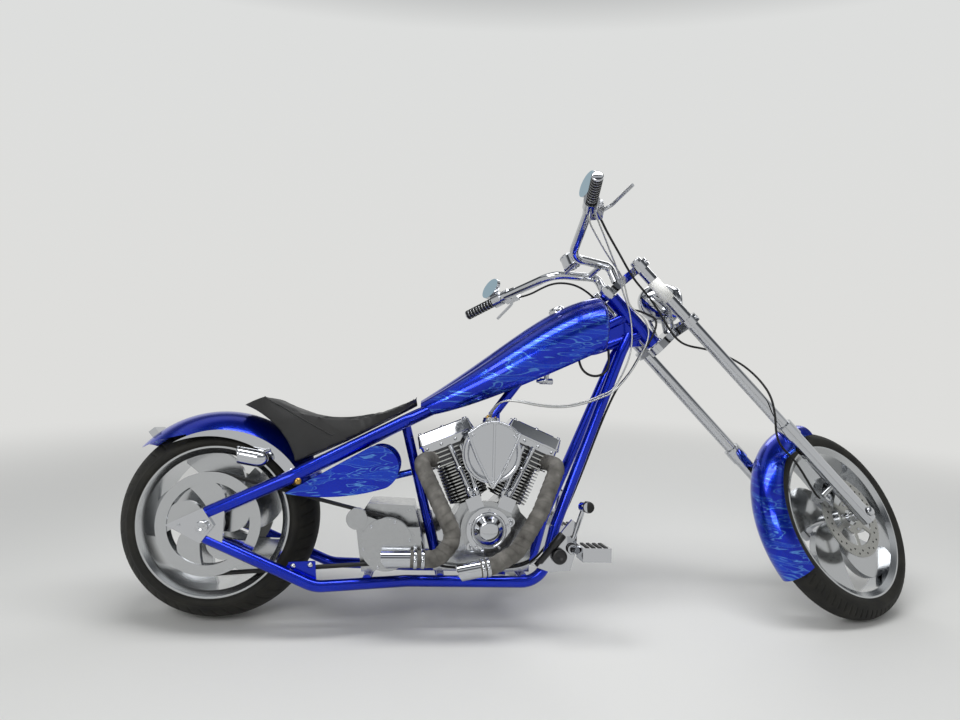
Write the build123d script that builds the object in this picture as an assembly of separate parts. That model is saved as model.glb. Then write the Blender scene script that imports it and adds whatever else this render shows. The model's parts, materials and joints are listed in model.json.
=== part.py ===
from build123d import *
import math
import os

# Long rigid-rear chopper, parked on its side stand with the steering on its left stop.
# Every piece is drawn on the upright machine: X forward, Y left, Z up, in millimetres,
# with the ground under the rear axle at zero. The front end is drawn with the steering
# straight. parked() then turns, leans and lowers the pieces to where they rest.

# Stance
wheelbase = 2237.0
rake_deg = 43.7
axle_offset = 81.5
steer_lock_deg = 32.0
lean_deg = 8.85

# Front wheel
front_tyre_radius = 350.0
front_tyre_half_width = 58.0
front_crown_radius = 60.0
front_lip_radius = 283.0
front_rim_half_width = 50.0
front_hub_radius = 38.0
front_hub_half_length = 72.0
front_spoke_count = 5
front_rotor_radius = 146.0

# Rear wheel
rear_tyre_radius = 328.0
rear_tyre_half_width = 124.0
rear_crown_radius = 150.0
rear_lip_radius = 246.0
rear_rim_half_width = 118.0
rear_hub_radius = 48.0
rear_spoke_count = 5
rear_rotor_radius = 146.0
rear_hub_left = 130.0

# Wheel details that both share
lip_height = 16.0
rim_wall = 8.0
rim_edge = 6.0
crown_facets = 6
wall_facets = 2
rotor_thickness = 5.0
seat_gap = 0.3
axle_radius = 12.7
bearing_clearance = 0.08
bead_clearance = 0.3

# Final drive
belt_width = 38.0
belt_y = -149.0
belt_thickness = 8.0
belt_clearance = 0.8
belt_side_gap = 1.0
pulley_guard = 3.0
hub_gap = 0.6
rear_pulley_radius = 156.0
front_pulley_radius = 68.0
front_pulley_x = 562.0
front_pulley_z = 282.0

# Frame tubes
stay_radius = 22.0
rail_radius = 19.0
down_tube_radius = 19.0
backbone_radius = 20.0
post_radius = 17.0
cross_radius = 15.0
rear_tube_y = 200.0
cross_z = 158.0
cross_front_x = 1030.0
cross_rear_x = 748.0
cross_tail_x = 510.0
post_top_x = 612.0
post_top_z = 668.0
rail_y = 130.0
neck_radius = 28.0
neck_bottom = 957.0
neck_top = 1187.0
stem_radius = 18.0
stem_clearance = 0.08

# Fork
leg_spread = 127.0
fork_tube_radius = 22.0
slider_radius = 31.0
slider_length = 430.0
clamp_thickness = 30.0
clamp_gap = 5.0
lower_clamp_along = neck_bottom - clamp_gap - clamp_thickness
upper_clamp_along = neck_top + clamp_gap
rotor_centre_y = front_hub_half_length + rotor_thickness / 2
fork_tube_top = upper_clamp_along + clamp_thickness + 12.0
headlight_radius = 76.0
bar_radius = 15.9
grip_radius = 19.0

# Engine
crank_x = 910.0
crank_z = 256.0
cylinder_angle_deg = 22.5
deck_distance = 168.0
barrel_length = 138.0
head_length = 62.0
rocker_length = 66.0
fin_width = 158.0
fin_depth = 148.0
fin_thickness = 4.0
fin_count = 12
head_fin_count = 4
core_width = 118.0
crankcase_left_y = 92.0
gearbox_left_y = 120.0
primary_face_y = 214.0
exhaust_radius = 26.0
tip_radius = 28.0
pipe_wall = 2.5

# Bodywork
sheet = 3.0
cover_splay_deg = 3.8
fender_tyre_gap = 32.0
rear_fender_half_width = 140.0
rear_fender_edge = 292.0
front_fender_half_width = 68.0
tank_front_half_width = 130.0
soft_gap = 0.4
oil_mount_z = 500.0
oil_mount_length = 100.0

# Side stand
stand_pivot_x = 985.0
stand_pivot_z = 132.0
stand_leg_radius = 11.0
stand_reach_forward = 85.0
stand_reach_out = 195.0
stand_fold_deg = 102.0
stand_pin_radius = 8.0

# Steering geometry worked out from the rake
rake = math.radians(rake_deg)
axis_up = Vector(-math.sin(rake), 0, math.cos(rake))
axis_forward = Vector(math.cos(rake), 0, math.sin(rake))
front_axle_centre = Vector(wheelbase, 0, front_tyre_radius)
rear_axle_centre = Vector(0, 0, rear_tyre_radius)
axis_foot = front_axle_centre - axis_forward * axle_offset
wheel_half_span = rear_tube_y + 16.0


def fork_point(along, forward, left=0.0):
    """A point on the front end: along the steering axis, ahead of it, and to the left."""
    return axis_foot + axis_up * along + axis_forward * forward + Vector(0, left, 0)


def fork_plane(along, forward=0.0, left=0.0):
    """A plane square to the steering axis, its x forward and its y left."""
    return Plane(origin=fork_point(along, forward, left), x_dir=axis_forward, z_dir=axis_up)


def lowest_point(centre, axle_direction, radius, crown):
    """Height of the lowest point of a tyre with a round crown."""
    across = math.sqrt(max(0.0, 1 - axle_direction.Z ** 2))
    return centre.Z - (radius - crown) * across - crown


def stance(pitch_deg):
    """The lean and pitch as one placement, and both tyres' lowest points in it."""
    lean = Rot(X=-lean_deg) * Rot(Y=pitch_deg)
    turned = Axis(tuple(axis_foot), tuple(axis_up))
    hub_from_axis = front_axle_centre - axis_foot
    hub_line = Vector(0, 1, 0).rotate(turned, steer_lock_deg)
    hub = axis_foot + hub_from_axis.rotate(Axis((0, 0, 0), tuple(axis_up)), steer_lock_deg)
    rear = lowest_point(
        placed_point(lean, rear_axle_centre),
        placed_point(lean, Vector(0, 1, 0)),
        rear_tyre_radius,
        rear_crown_radius,
    )
    front = lowest_point(
        placed_point(lean, hub),
        placed_point(lean, hub_line),
        front_tyre_radius,
        front_crown_radius,
    )
    return lean, rear, front


def placed_point(location, point):
    """Where a placement puts one point."""
    return (location * Location(tuple(point))).position


def solve_stance():
    """Pitch the leaning machine until both tyres touch the same ground."""
    pitch = 0.0
    for _ in range(12):
        lean, rear, front = stance(pitch)
        pitch += math.degrees((front - rear) / wheelbase)
    lean, rear, front = stance(pitch)
    return Pos(0, 0, -rear) * lean, pitch


standing, pitch_deg = solve_stance()
steer_axis_bike = Axis(tuple(axis_foot), tuple(axis_up))


def rod(start, end, radius):
    """A round bar between two points."""
    start = Vector(*start)
    end = Vector(*end)
    return extrude(Plane(origin=start, z_dir=end - start) * Circle(radius), amount=(end - start).length)


def bent_tube(points, radius, bends, bore=0.0):
    """A round tube along straight runs with a bend at each corner."""
    path = FilletPolyline(*[tuple(p) for p in points], radius=bends)
    section = Plane(origin=path @ 0, z_dir=path % 0) * Circle(radius)
    tube = sweep(section, path=path)
    if bore:
        hole = Plane(origin=path @ 0, z_dir=path % 0) * Circle(bore)
        tube = tube - sweep(hole, path=path)
    return tube


def disc(x, z, y_from, y_to, radius):
    """A round disc lying across the machine between two y values."""
    return rod((x, y_from, z), (x, y_to, z), radius)


def side_plate(points, y_from, y_to):
    """A plate with a side-view outline of straight edges, between two y values."""
    outline = Polyline(*[(x, y_from, z) for x, z in points], close=True)
    face = make_face(outline)
    return extrude(face, amount=abs(y_to - y_from), dir=(0, math.copysign(1, y_to - y_from), 0))


def mirrored(shape):
    """The same piece on the other side of the machine."""
    return shape.mirror(Plane.XZ)


def both_sides(shape):
    return together(shape, mirrored(shape))


def together(*shapes):
    """Several solids kept apart in one piece."""
    solids = []
    for shape in shapes:
        solids.extend(shape.solids())
    return Compound(solids)


def cut(shape, *tools):
    """Take some solids out of a shape."""
    for tool in tools:
        shape = shape - tool
    return shape


# Wheels


def chords(arc, count):
    """Corners along an arc, which a turned face follows in flat bands."""
    return [arc @ (index / count) for index in range(count + 1)]


def tyre(radius, half_width, crown, lip, rim_half_width):
    """A tyre as a turned section: banded crown, sidewalls and beads that sit in the rim."""
    seat = lip - lip_height + bead_clearance
    shoulder_y = half_width * 0.9
    shoulder_r = radius - crown + math.sqrt(crown ** 2 - shoulder_y ** 2)
    lip_y = rim_half_width - rim_edge - bead_clearance
    bead_y = rim_half_width - 2 * rim_edge - bead_clearance
    wall_r = (shoulder_r + lip) / 2
    crown_arc = ThreePointArc((shoulder_r, -shoulder_y), (radius, 0), (shoulder_r, shoulder_y))
    wall_arc = ThreePointArc((shoulder_r, shoulder_y), (wall_r, half_width), (lip + 1, rim_half_width))
    wall = chords(wall_arc, wall_facets)
    left = wall[1:] + [Vector(lip + 1, lip_y), Vector(seat, bead_y)]
    right = [Vector(point.X, -point.Y) for point in reversed(left)]
    corners = chords(crown_arc, crown_facets) + left + right
    section = make_face(Polyline(*corners, close=True))
    return revolve(section, axis=Axis.Y, revolution_arc=360)


def rim_barrel(lip, half_width):
    """The turned barrel of a rim, with a raised lip at each edge."""
    seat = lip - lip_height
    inner = seat - rim_wall
    edge = rim_edge
    outline = Polyline(
        (lip, half_width),
        (lip, half_width - edge),
        (seat, half_width - 2 * edge),
        (seat, 2 * edge - half_width),
        (lip, edge - half_width),
        (lip, -half_width),
        (lip - edge, -half_width),
        (inner, 2 * edge - half_width),
        (inner, half_width - 2 * edge),
        (lip - edge, half_width),
        close=True,
    )
    return revolve(make_face(outline), axis=Axis.Y, revolution_arc=360)


def swirl_blade(inner, outer, root_deg, tip_deg, sweep_deg, thickness):
    """One curved spoke that widens towards the rim, lying in the wheel's plane."""
    def at(radius, degrees):
        angle = math.radians(degrees)
        return (radius * math.cos(angle), 0, radius * math.sin(angle))

    middle = (inner + outer) / 2
    bow = sweep_deg * 0.30
    face = make_face([
        ThreePointArc(at(inner, -root_deg), at(middle, -root_deg + bow), at(outer, sweep_deg - tip_deg)),
        ThreePointArc(at(outer, sweep_deg - tip_deg), at(outer, sweep_deg), at(outer, sweep_deg + tip_deg)),
        ThreePointArc(at(outer, sweep_deg + tip_deg), at(middle, root_deg + bow + 6), at(inner, root_deg)),
        Line(at(inner, root_deg), at(inner, -root_deg)),
    ])
    blade = extrude(face, amount=thickness / 2, both=True)
    return blade


def swirl_wheel(lip, half_width, hub_radius, hub_from, hub_to, count, sweep_deg, tip_deg):
    """A one-piece polished wheel: barrel, swirl spokes and hub with its bearing bore."""
    barrel = rim_barrel(lip, half_width)
    inner = lip - lip_height - rim_wall
    wheel = barrel + disc(0, 0, hub_from, hub_to, hub_radius)
    blade = swirl_blade(hub_radius - 6, inner + 3, 26, tip_deg, sweep_deg, 26.0)
    for index in range(count):
        wheel += Rot(Y=360 / count * index) * blade
    wheel -= disc(0, 0, hub_from - 1, hub_to + 1, axle_radius + bearing_clearance)
    return wheel


def brake_rotor(radius, y, carrier_radius):
    """A brake disc with its carrier."""
    ring = disc(0, 0, y - rotor_thickness / 2, y + rotor_thickness / 2, radius)
    ring -= disc(0, 0, y - rotor_thickness, y + rotor_thickness, radius - 42)
    carrier = disc(0, 0, y - rotor_thickness / 2, y + rotor_thickness / 2, carrier_radius)
    arm = Pos(0, y, 0) * Box(16, rotor_thickness, 2 * (radius - 36))
    for index in range(3):
        carrier += Rot(Y=60 * index) * arm
    return (ring + carrier) - disc(0, 0, y - 10, y + 10, front_hub_radius - 8)


def front_wheel_pieces():
    hub = front_hub_half_length
    pieces = {
        "front_tyre": tyre(
            front_tyre_radius,
            front_tyre_half_width,
            front_crown_radius,
            front_lip_radius,
            front_rim_half_width,
        ),
        "front_rim": swirl_wheel(
            front_lip_radius, front_rim_half_width, front_hub_radius, -hub, hub, front_spoke_count, 40, 12
        ),
        "front_rotor": cut(
            brake_rotor(front_rotor_radius, -rotor_centre_y, 60),
            disc(0, 0, -200, 200, axle_radius + 6),
        ),
    }
    return {name: Pos(*front_axle_centre) * piece for name, piece in pieces.items()}


def rear_pulley():
    """The belt pulley: a smooth ring on five curved arms."""
    y_from = belt_y - belt_width / 2
    y_to = belt_y + belt_width / 2
    ring = disc(0, 0, y_from, y_to, rear_pulley_radius)
    ring -= disc(0, 0, y_from - 1, y_to + 1, rear_pulley_radius - 26)
    guard = disc(0, 0, y_from - pulley_guard, y_from, rear_pulley_radius + 9)
    guard -= disc(0, 0, y_from - 4, y_from + 1, rear_pulley_radius - 26)
    hub = disc(0, 0, y_from - pulley_guard, y_to + 18, 52)
    pulley = ring + guard + hub
    blade = swirl_blade(46, rear_pulley_radius - 22, 24, 15, 34, 22)
    for index in range(rear_spoke_count):
        pulley += Rot(Y=360 / rear_spoke_count * index) * Pos(0, belt_y - 6, 0) * blade
    return pulley - disc(0, 0, y_from - 10, y_to + 30, axle_radius + bearing_clearance)


def rear_wheel_pieces():
    hub_right = belt_y + belt_width / 2 + 18
    pieces = {
        "rear_tyre": tyre(
            rear_tyre_radius,
            rear_tyre_half_width,
            rear_crown_radius,
            rear_lip_radius,
            rear_rim_half_width,
        ),
        "rear_rim": swirl_wheel(
            rear_lip_radius, rear_rim_half_width, rear_hub_radius, hub_right, rear_hub_left, rear_spoke_count, 40, 14
        ),
        "rear_pulley": rear_pulley(),
        "rear_rotor": brake_rotor(rear_rotor_radius, rear_hub_left + rotor_thickness / 2, 60),
    }
    pieces["rear_rotor"] = cut(pieces["rear_rotor"], disc(0, 0, 100, 200, axle_radius + 6))
    return {name: Pos(*rear_axle_centre) * piece for name, piece in pieces.items()}


# Frame

backbone_low = Vector(622, 0, 679)
backbone_high = Vector(1391, 0, 1092)
stay_points = [
    (4, -rear_tube_y, 366),
    (250, -rear_tube_y, 480),
    (620, -96, 677),
    (700, -38, 718),
]
stay_bends = [160, 70]
rail_points = [
    (4, -rear_tube_y, 290),
    (350, -rear_tube_y, 142),
    (640, -rail_y, 148),
    (1090, -rail_y, 148),
    (1135, -114, 330),
]
down_points = [(1135, -114, 330), (1383, -42, 944), (1418, -26, 1010)]


def neck_tube():
    return rod(fork_point(neck_bottom, 0), fork_point(neck_top, 0), neck_radius)


def neck_bore():
    return rod(fork_point(neck_bottom - 1, 0), fork_point(neck_top + 1, 0), stem_radius + stem_clearance)


def backbone_solid():
    """The neck, the backbone, the lower neck tube, the web between them and the hanger."""
    top_tube = rod(backbone_low, fork_point(neck_top - 90, 0), backbone_radius)
    lower_tube = bent_tube([(1130, 0, 948), (1290, 0, 952), fork_point(neck_bottom + 52, 0)], 18, 120)
    web = side_plate([(1150, 960), (1300, 955), (1470, 975), (1400, 1085), (1380, 1085)], -10, 10)
    hanger = rod((1090, 0, 930), (925, 0, 706), 17)
    lug = side_plate([(900, 668), (948, 668), (948, 716), (910, 716)], -12, 12)
    return neck_tube() + top_tube + lower_tube + web + hanger + lug - neck_bore()


def frame_pieces():
    backbone = backbone_solid()
    down = bent_tube(down_points, down_tube_radius, [70])
    down = cut(down, backbone, neck_bore())
    rail = bent_tube(rail_points, rail_radius, [110, 90, 90])
    rail = cut(rail, down)
    stay = bent_tube(stay_points, stay_radius, stay_bends)
    stay = cut(stay, backbone)
    stays = together(stay, mirrored(stay))
    rails = together(rail, mirrored(rail))
    post = rod((post_top_x, 0, post_top_z), (cross_rear_x, 0, cross_z), post_radius)
    cross_top = rod((post_top_x, -100, post_top_z), (post_top_x, 100, post_top_z), cross_radius)
    cross_rear = rod((cross_rear_x, -rail_y, cross_z), (cross_rear_x, rail_y, cross_z), cross_radius)
    cross_front = rod((cross_front_x, -rail_y, cross_z), (cross_front_x, rail_y, cross_z), cross_radius)
    cross_tail = rod((cross_tail_x, -162, cross_z), (cross_tail_x, 162, cross_z), cross_radius)
    crossmembers = together(cross_rear + post + cross_top, cross_front, cross_tail)
    crossmembers = cut(crossmembers, rails, stays, backbone)
    return {
        "frame_backbone": backbone,
        "frame_down_tubes": both_sides(down),
        "frame_lower_rails": rails,
        "frame_stays": stays,
        "frame_crossmembers": together(crossmembers, stand_bracket()),
    }


def axle_plate_pieces():
    kite = side_plate([(-114, 330), (-4, 384), (34, 331), (-4, 276)], -wheel_half_span, -wheel_half_span + 12)
    kite = Pos(0, -12, 0) * kite
    tongue = side_plate([(-30, 352), (60, 392), (60, 268), (-30, 300)], -wheel_half_span, -wheel_half_span + 12)
    hole = disc(0, rear_tyre_radius, -260, 260, axle_radius)
    right = cut(kite + tongue, hole)
    return right


def rear_axle():
    centre = rear_tyre_radius
    shaft = disc(0, centre, -wheel_half_span - 14, wheel_half_span + 14, axle_radius)
    nut = disc(0, centre, -wheel_half_span - 26, -wheel_half_span - 12, 19)
    pulley_face = belt_y - belt_width / 2 - pulley_guard
    spacer = disc(0, centre, -wheel_half_span + 12, pulley_face - hub_gap, 19)
    spacer_left = disc(0, centre, rear_hub_left + rotor_thickness + hub_gap, wheel_half_span - 12, 19)
    return shaft + nut + mirrored(nut) + spacer + spacer_left


def drive_belt():
    """The toothed belt as one closed loop round both pulleys."""
    half = belt_width / 2 - belt_side_gap
    inner_rear = rear_pulley_radius + belt_clearance
    inner_front = front_pulley_radius + belt_clearance
    def loop(grow):
        rear = Pos(0, 0, 0) * Circle(inner_rear + grow)
        front = Pos(front_pulley_x, front_pulley_z - rear_tyre_radius) * Circle(inner_front + grow)
        return make_hull(rear.edges() + front.edges())
    section = loop(belt_thickness) - loop(0)
    plane = Plane(origin=(0, belt_y + half, rear_tyre_radius), x_dir=(1, 0, 0), z_dir=(0, -1, 0))
    return extrude(plane * section, amount=2 * half)


def caliper(centre_radius, rotor_radius, width):
    """A brake caliper drawn at the top of a rotor in the wheel's plane, slotted for it."""
    body = Pos(0, 0, centre_radius) * Box(100, width, 62)
    slot = disc(0, 0, -rotor_thickness / 2 - 2, rotor_thickness / 2 + 2, rotor_radius + 5)
    return body - slot


def rear_caliper():
    rotor_y = rear_hub_left + rotor_thickness / 2
    body = caliper(rear_rotor_radius - 6, rear_rotor_radius, 44)
    body = Pos(0, rotor_y, 0) * body
    bracket = side_plate([(-50, 150), (50, 150), (26, 16), (-26, 16)], rotor_y + 21, rotor_y + 31)
    return Pos(*rear_axle_centre) * Rot(Y=40) * (body + bracket)


def fender_skin(tyre_radius, half_width, edge_radius, from_deg, to_deg):
    """A crowned sheet wrapped round a wheel between two angles."""
    outer_r = tyre_radius + fender_tyre_gap + sheet
    def arc(grow):
        return ThreePointArc(
            (edge_radius, -half_width - grow), (outer_r + grow, 0), (edge_radius, half_width + grow)
        )
    outer = arc(0)
    inner = arc(-sheet)
    section = make_face([
        outer,
        Line(outer @ 1, inner @ 1),
        inner,
        Line(inner @ 0, outer @ 0),
    ])
    arc_deg = to_deg - from_deg
    skin = revolve(section, axis=Axis.Y, revolution_arc=arc_deg)
    return Rot(Y=-from_deg - arc_deg) * skin


def rear_fender_core(grow):
    """Everything within the rear fender's outer face, as one turned solid."""
    wide = rear_fender_half_width + grow
    outer_r = rear_tyre_radius + fender_tyre_gap + sheet + grow
    section = make_face([
        ThreePointArc((rear_fender_edge, -wide), (outer_r, 0), (rear_fender_edge, wide)),
        Line((rear_fender_edge, wide), (10, wide)),
        Line((10, wide), (10, -wide)),
        Line((10, -wide), (rear_fender_edge, -wide)),
    ])
    return Pos(*rear_axle_centre) * revolve(section, axis=Axis.Y, revolution_arc=360)


def rear_fender():
    skin = fender_skin(rear_tyre_radius, rear_fender_half_width, rear_fender_edge, 24, 138)
    skin = Pos(*rear_axle_centre) * skin
    trim = side_plate([(-420, 520), (-262, 560), (-193, 588), (-100, 610), (-60, 560), (-420, 400)], -200, 200)
    return skin - trim


def fender_struts():
    """Arched polished struts from the stays along the fender's edge."""
    def at(radius, degrees):
        angle = math.radians(degrees)
        return (radius * math.cos(angle), -rear_fender_half_width - seat_gap, rear_tyre_radius + radius * math.sin(angle))
    face = make_face([
        ThreePointArc(at(318, 34), at(306, 74), at(288, 118)),
        ThreePointArc(at(288, 118), at(276, 74), at(284, 34)),
        Line(at(284, 34), at(318, 34)),
    ])
    strut = extrude(face, amount=9, dir=(0, -1, 0))
    foot = rod((250, -150, 500), (250, -rear_tube_y, 488), 9)
    return both_sides(strut + foot)


# Engine


def cylinder_plane(side, distance):
    """A plane square to one cylinder's axis; its x runs fore and aft."""
    angle = math.radians(cylinder_angle_deg) * side
    direction = Vector(math.sin(angle), 0, math.cos(angle))
    origin = Vector(crank_x, 0, crank_z) + direction * distance
    return Plane(origin=origin, x_dir=(math.cos(angle), 0, -math.sin(angle)), z_dir=direction)


def finned_cylinder(side):
    """Barrel and head in one, with thin cooling fins round a core."""
    total = barrel_length + head_length
    core = extrude(cylinder_plane(side, deck_distance) * Circle(core_width / 2), amount=barrel_length)
    head_plane = cylinder_plane(side, deck_distance + barrel_length)
    core += extrude(head_plane * RectangleRounded(core_width + 20, core_width + 10, 20), amount=head_length)
    pitch = barrel_length / fin_count
    for index in range(fin_count):
        distance = deck_distance + pitch * (index + 0.5)
        room = 2 * distance * math.tan(math.radians(cylinder_angle_deg)) - 4
        width = min(fin_width - 14, room)
        core += extrude(
            cylinder_plane(side, distance) * RectangleRounded(width, fin_depth, 48), amount=fin_thickness
        )
    head_pitch = head_length / head_fin_count
    for index in range(head_fin_count):
        plane = cylinder_plane(side, deck_distance + barrel_length + head_pitch * index + 2)
        core += extrude(plane * RectangleRounded(fin_width + 14, fin_depth + 6, 24), amount=fin_thickness)
    return core


def rocker_box(side):
    """A two-step cover that slopes in towards its top."""
    base = cylinder_plane(side, deck_distance + barrel_length + head_length)
    lower = extrude(base * RectangleRounded(196, 132, 14), amount=rocker_length * 0.45)
    middle = cylinder_plane(side, deck_distance + barrel_length + head_length + rocker_length * 0.45)
    upper = extrude(middle * RectangleRounded(204, 138, 16), amount=rocker_length * 0.55, taper=12)
    return lower + upper


def crankcase():
    floor = cross_z + cross_radius + seat_gap
    outline = [
        (726, floor), (1052, floor), (1062, 330), (1020, 372),
        (985, 450), (910, 380), (835, 450), (800, 372), (770, 330), (770, 205), (726, 190),
    ]
    case = side_plate(outline, -88, crankcase_left_y)
    chest = disc(905, 318, -120, -86, 92)
    case = case + chest
    for side in (-1, 1):
        deck = extrude(cylinder_plane(side, deck_distance) * Rectangle(200, 190), amount=120)
        case -= deck
    return case - rod((post_top_x, 0, post_top_z), (cross_rear_x, 0, cross_z), post_radius + 1)


def cam_cover():
    ring = disc(905, 318, -150, -120.2, 74)
    ear = disc(978, 345, -142, -120.2, 16)
    low_ear = disc(850, 262, -142, -120.2, 16)
    dome = Pos(905, -150, 318) * Rot(X=90) * Cone(52, 34, 18)
    return ring + ear + low_ear + Pos(0, -8, 0) * dome


def pushrod_tubes():
    tubes = []
    for low, high in [
        ((850, -112, 424), (768, -112, 596)),
        ((872, -112, 424), (806, -112, 600)),
        ((952, -112, 424), (1020, -112, 600)),
        ((974, -112, 424), (1058, -112, 596)),
    ]:
        tubes.append(rod(low, high, 9))
    blocks = []
    for x, lean in [(858, -1), (968, 1)]:
        block = Pos(x, -112, 404) * Rot(Y=lean * cylinder_angle_deg) * Box(52, 26, 44)
        blocks.append(block)
    rear = blocks[0] + tubes[0] + tubes[1]
    front = blocks[1] + tubes[2] + tubes[3]
    return cut(together(rear, front), crankcase())


def air_cleaner():
    backing = disc(904, 575, -205, -176, 98)
    face = disc(904, 575, -228, -205, 92)
    shield_outline = make_face([
        ThreePointArc((822, -222, 640), (906, -222, 682), (990, -222, 640)),
        ThreePointArc((990, -222, 640), (960, -222, 560), (906, -222, 462)),
        ThreePointArc((906, -222, 462), (850, -222, 560), (822, -222, 640)),
    ])
    shield = extrude(shield_outline, amount=24, dir=(0, -1, 0))
    neck = disc(906, 600, -176, -112, 30)
    return backing + face + shield + neck


def carburettor():
    body = Pos(908, -86, 612) * Box(62, 50, 74)
    top = disc(908, 660, -120, -60, 30)
    manifold = disc(908, 600, -62, 0, 22)
    y_pipe = rod((860, 0, 590), (958, 0, 590), 20)
    return body + top + manifold + y_pipe


exhaust_rear_points = [
    (716, -54, 545),
    (668, -112, 540),
    (742, -204, 396),
    (792, -222, 300),
    (735, -232, 238),
    (648, -236, 238),
]
exhaust_front_points = [
    (1104, -54, 545),
    (1144, -112, 536),
    (1070, -204, 388),
    (992, -222, 262),
    (915, -233, 219),
    (872, -236, 211),
]


def exhaust_pipe(points, bends):
    return bent_tube(points, exhaust_radius, bends, bore=exhaust_radius - pipe_wall)


def exhaust_tip(points, length):
    """A short polished sleeve that carries on from a pipe's end and is cut on a slant."""
    start = Vector(*points[-1])
    way = (start - Vector(*points[-2])).normalized()
    end = start + way * length
    tube = rod(start, end, tip_radius) - rod(start - way, end + way, tip_radius - pipe_wall)
    slant = Plane(origin=end, x_dir=(0, 1, 0), z_dir=(-0.82, 0, -0.57)) * Rectangle(200, 200)
    return tube - extrude(slant, amount=100)


def exhaust_tips():
    return together(exhaust_tip(exhaust_rear_points, 92), exhaust_tip(exhaust_front_points, 74))


def transmission():
    floor = cross_z + cross_radius + seat_gap
    outline = [(488, floor), (530, floor), (560, 200), (700, 196), (684, 290), (655, 392), (500, 396), (462, 330)]
    return side_plate(outline, -118, gearbox_left_y)


def transmission_cover():
    cover = disc(571, 276, -204, -174, 84)
    arm = side_plate([(600, 330), (676, 330), (686, 250), (600, 215)], -198, -178)
    post = disc(665, 290, -180, -118, 18)
    ring = disc(472, 355, -200, -174, 34)
    link = side_plate([(470, 375), (560, 345), (530, 310), (455, 335)], -192, -176)
    shaft = disc(front_pulley_x, front_pulley_z, -180, -118, 20)
    pulley = disc(
        front_pulley_x, front_pulley_z, belt_y - belt_width / 2, belt_y + belt_width / 2, front_pulley_radius
    )
    return cover + arm + post + ring + link + shaft + pulley


def primary_cover():
    """A long closed cover over the primary drive on the left."""
    outline = make_hull(
        (Pos(crank_x, crank_z) * Circle(78)).edges() + (Pos(600, 268) * Circle(92)).edges()
    )
    plane = Plane(origin=(0, primary_face_y, 0), x_dir=(1, 0, 0), z_dir=(0, -1, 0))
    cover = extrude(plane * outline, amount=primary_face_y - gearbox_left_y - seat_gap)
    cover = fillet(cover.faces().sort_by(Axis.Y)[-1].edges(), 18)
    return cover + disc(crank_x, crank_z, crankcase_left_y + seat_gap, gearbox_left_y + 6, 60)


# Bodywork


def oil_tank_mount():
    """The boss that seats the oil tank on the seat post."""
    top = Vector(post_top_x, 0, post_top_z)
    foot = Vector(cross_rear_x, 0, cross_z)
    along = (foot - top).normalized()
    away = Vector(along.Z, 0, -along.X)
    middle = top + along * ((top.Z - oil_mount_z) / -along.Z)
    return rod(middle + away * (post_radius + seat_gap), middle + away * oil_mount_length, 12)


def oil_tank():
    """A tank under the seat with a tear-shaped cover on each side."""
    tear = make_face([
        Line((236, -174, 430), (505, -174, 586)),
        ThreePointArc((505, -174, 586), (598, -174, 530), (560, -174, 452)),
        ThreePointArc((560, -174, 452), (430, -174, 424), (236, -174, 430)),
    ])
    cover = extrude(tear, amount=14, dir=(0, -1, 0))
    cover = cover.rotate(Axis((236, -174, 0), (0, 0, 1)), cover_splay_deg)
    body = side_plate([(388, 432), (560, 452), (572, 520), (505, 572), (395, 512)], -160, 160)
    return body + cover + mirrored(cover) + oil_tank_mount()


tank_stations = [
    # x, top, bottom, half width, half width of the floor, half width of the crown
    (664, 748, 690, 60, 50, 34),
    (790, 836, 722, 92, 70, 44),
    (960, 964, 786, 116, 86, 52),
    (1130, 1082, 862, 130, 92, 60),
    (1300, 1148, 944, 124, 88, 58),
]


def tank_section(x, top, bottom, half, floor, crown):
    waist = bottom + (top - bottom) * 0.48
    shoulder = bottom + (top - bottom) * 0.88
    return make_face([
        Line((x, -floor, bottom), (x, floor, bottom)),
        ThreePointArc((x, floor, bottom), (x, half, waist), (x, crown, shoulder)),
        ThreePointArc((x, crown, shoulder), (x, 0, top), (x, -crown, shoulder)),
        ThreePointArc((x, -crown, shoulder), (x, -half, waist), (x, -floor, bottom)),
    ])


def fuel_tank():
    body = loft([tank_section(*row) for row in tank_stations])
    slope = (backbone_high.Z - backbone_low.Z) / (backbone_high.X - backbone_low.X)
    def over_backbone(x):
        return backbone_low.Z + (x - backbone_low.X) * slope + (backbone_radius + 3) * math.hypot(1, slope)
    half = backbone_radius + 2
    tunnel = side_plate(
        [(600, over_backbone(600)), (1400, over_backbone(1400)), (1400, 500), (600, 500)], -half, half
    )
    stay = bent_tube(stay_points, stay_radius + 1, stay_bends)
    return cut(body, tunnel, stay, mirrored(stay))


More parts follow.
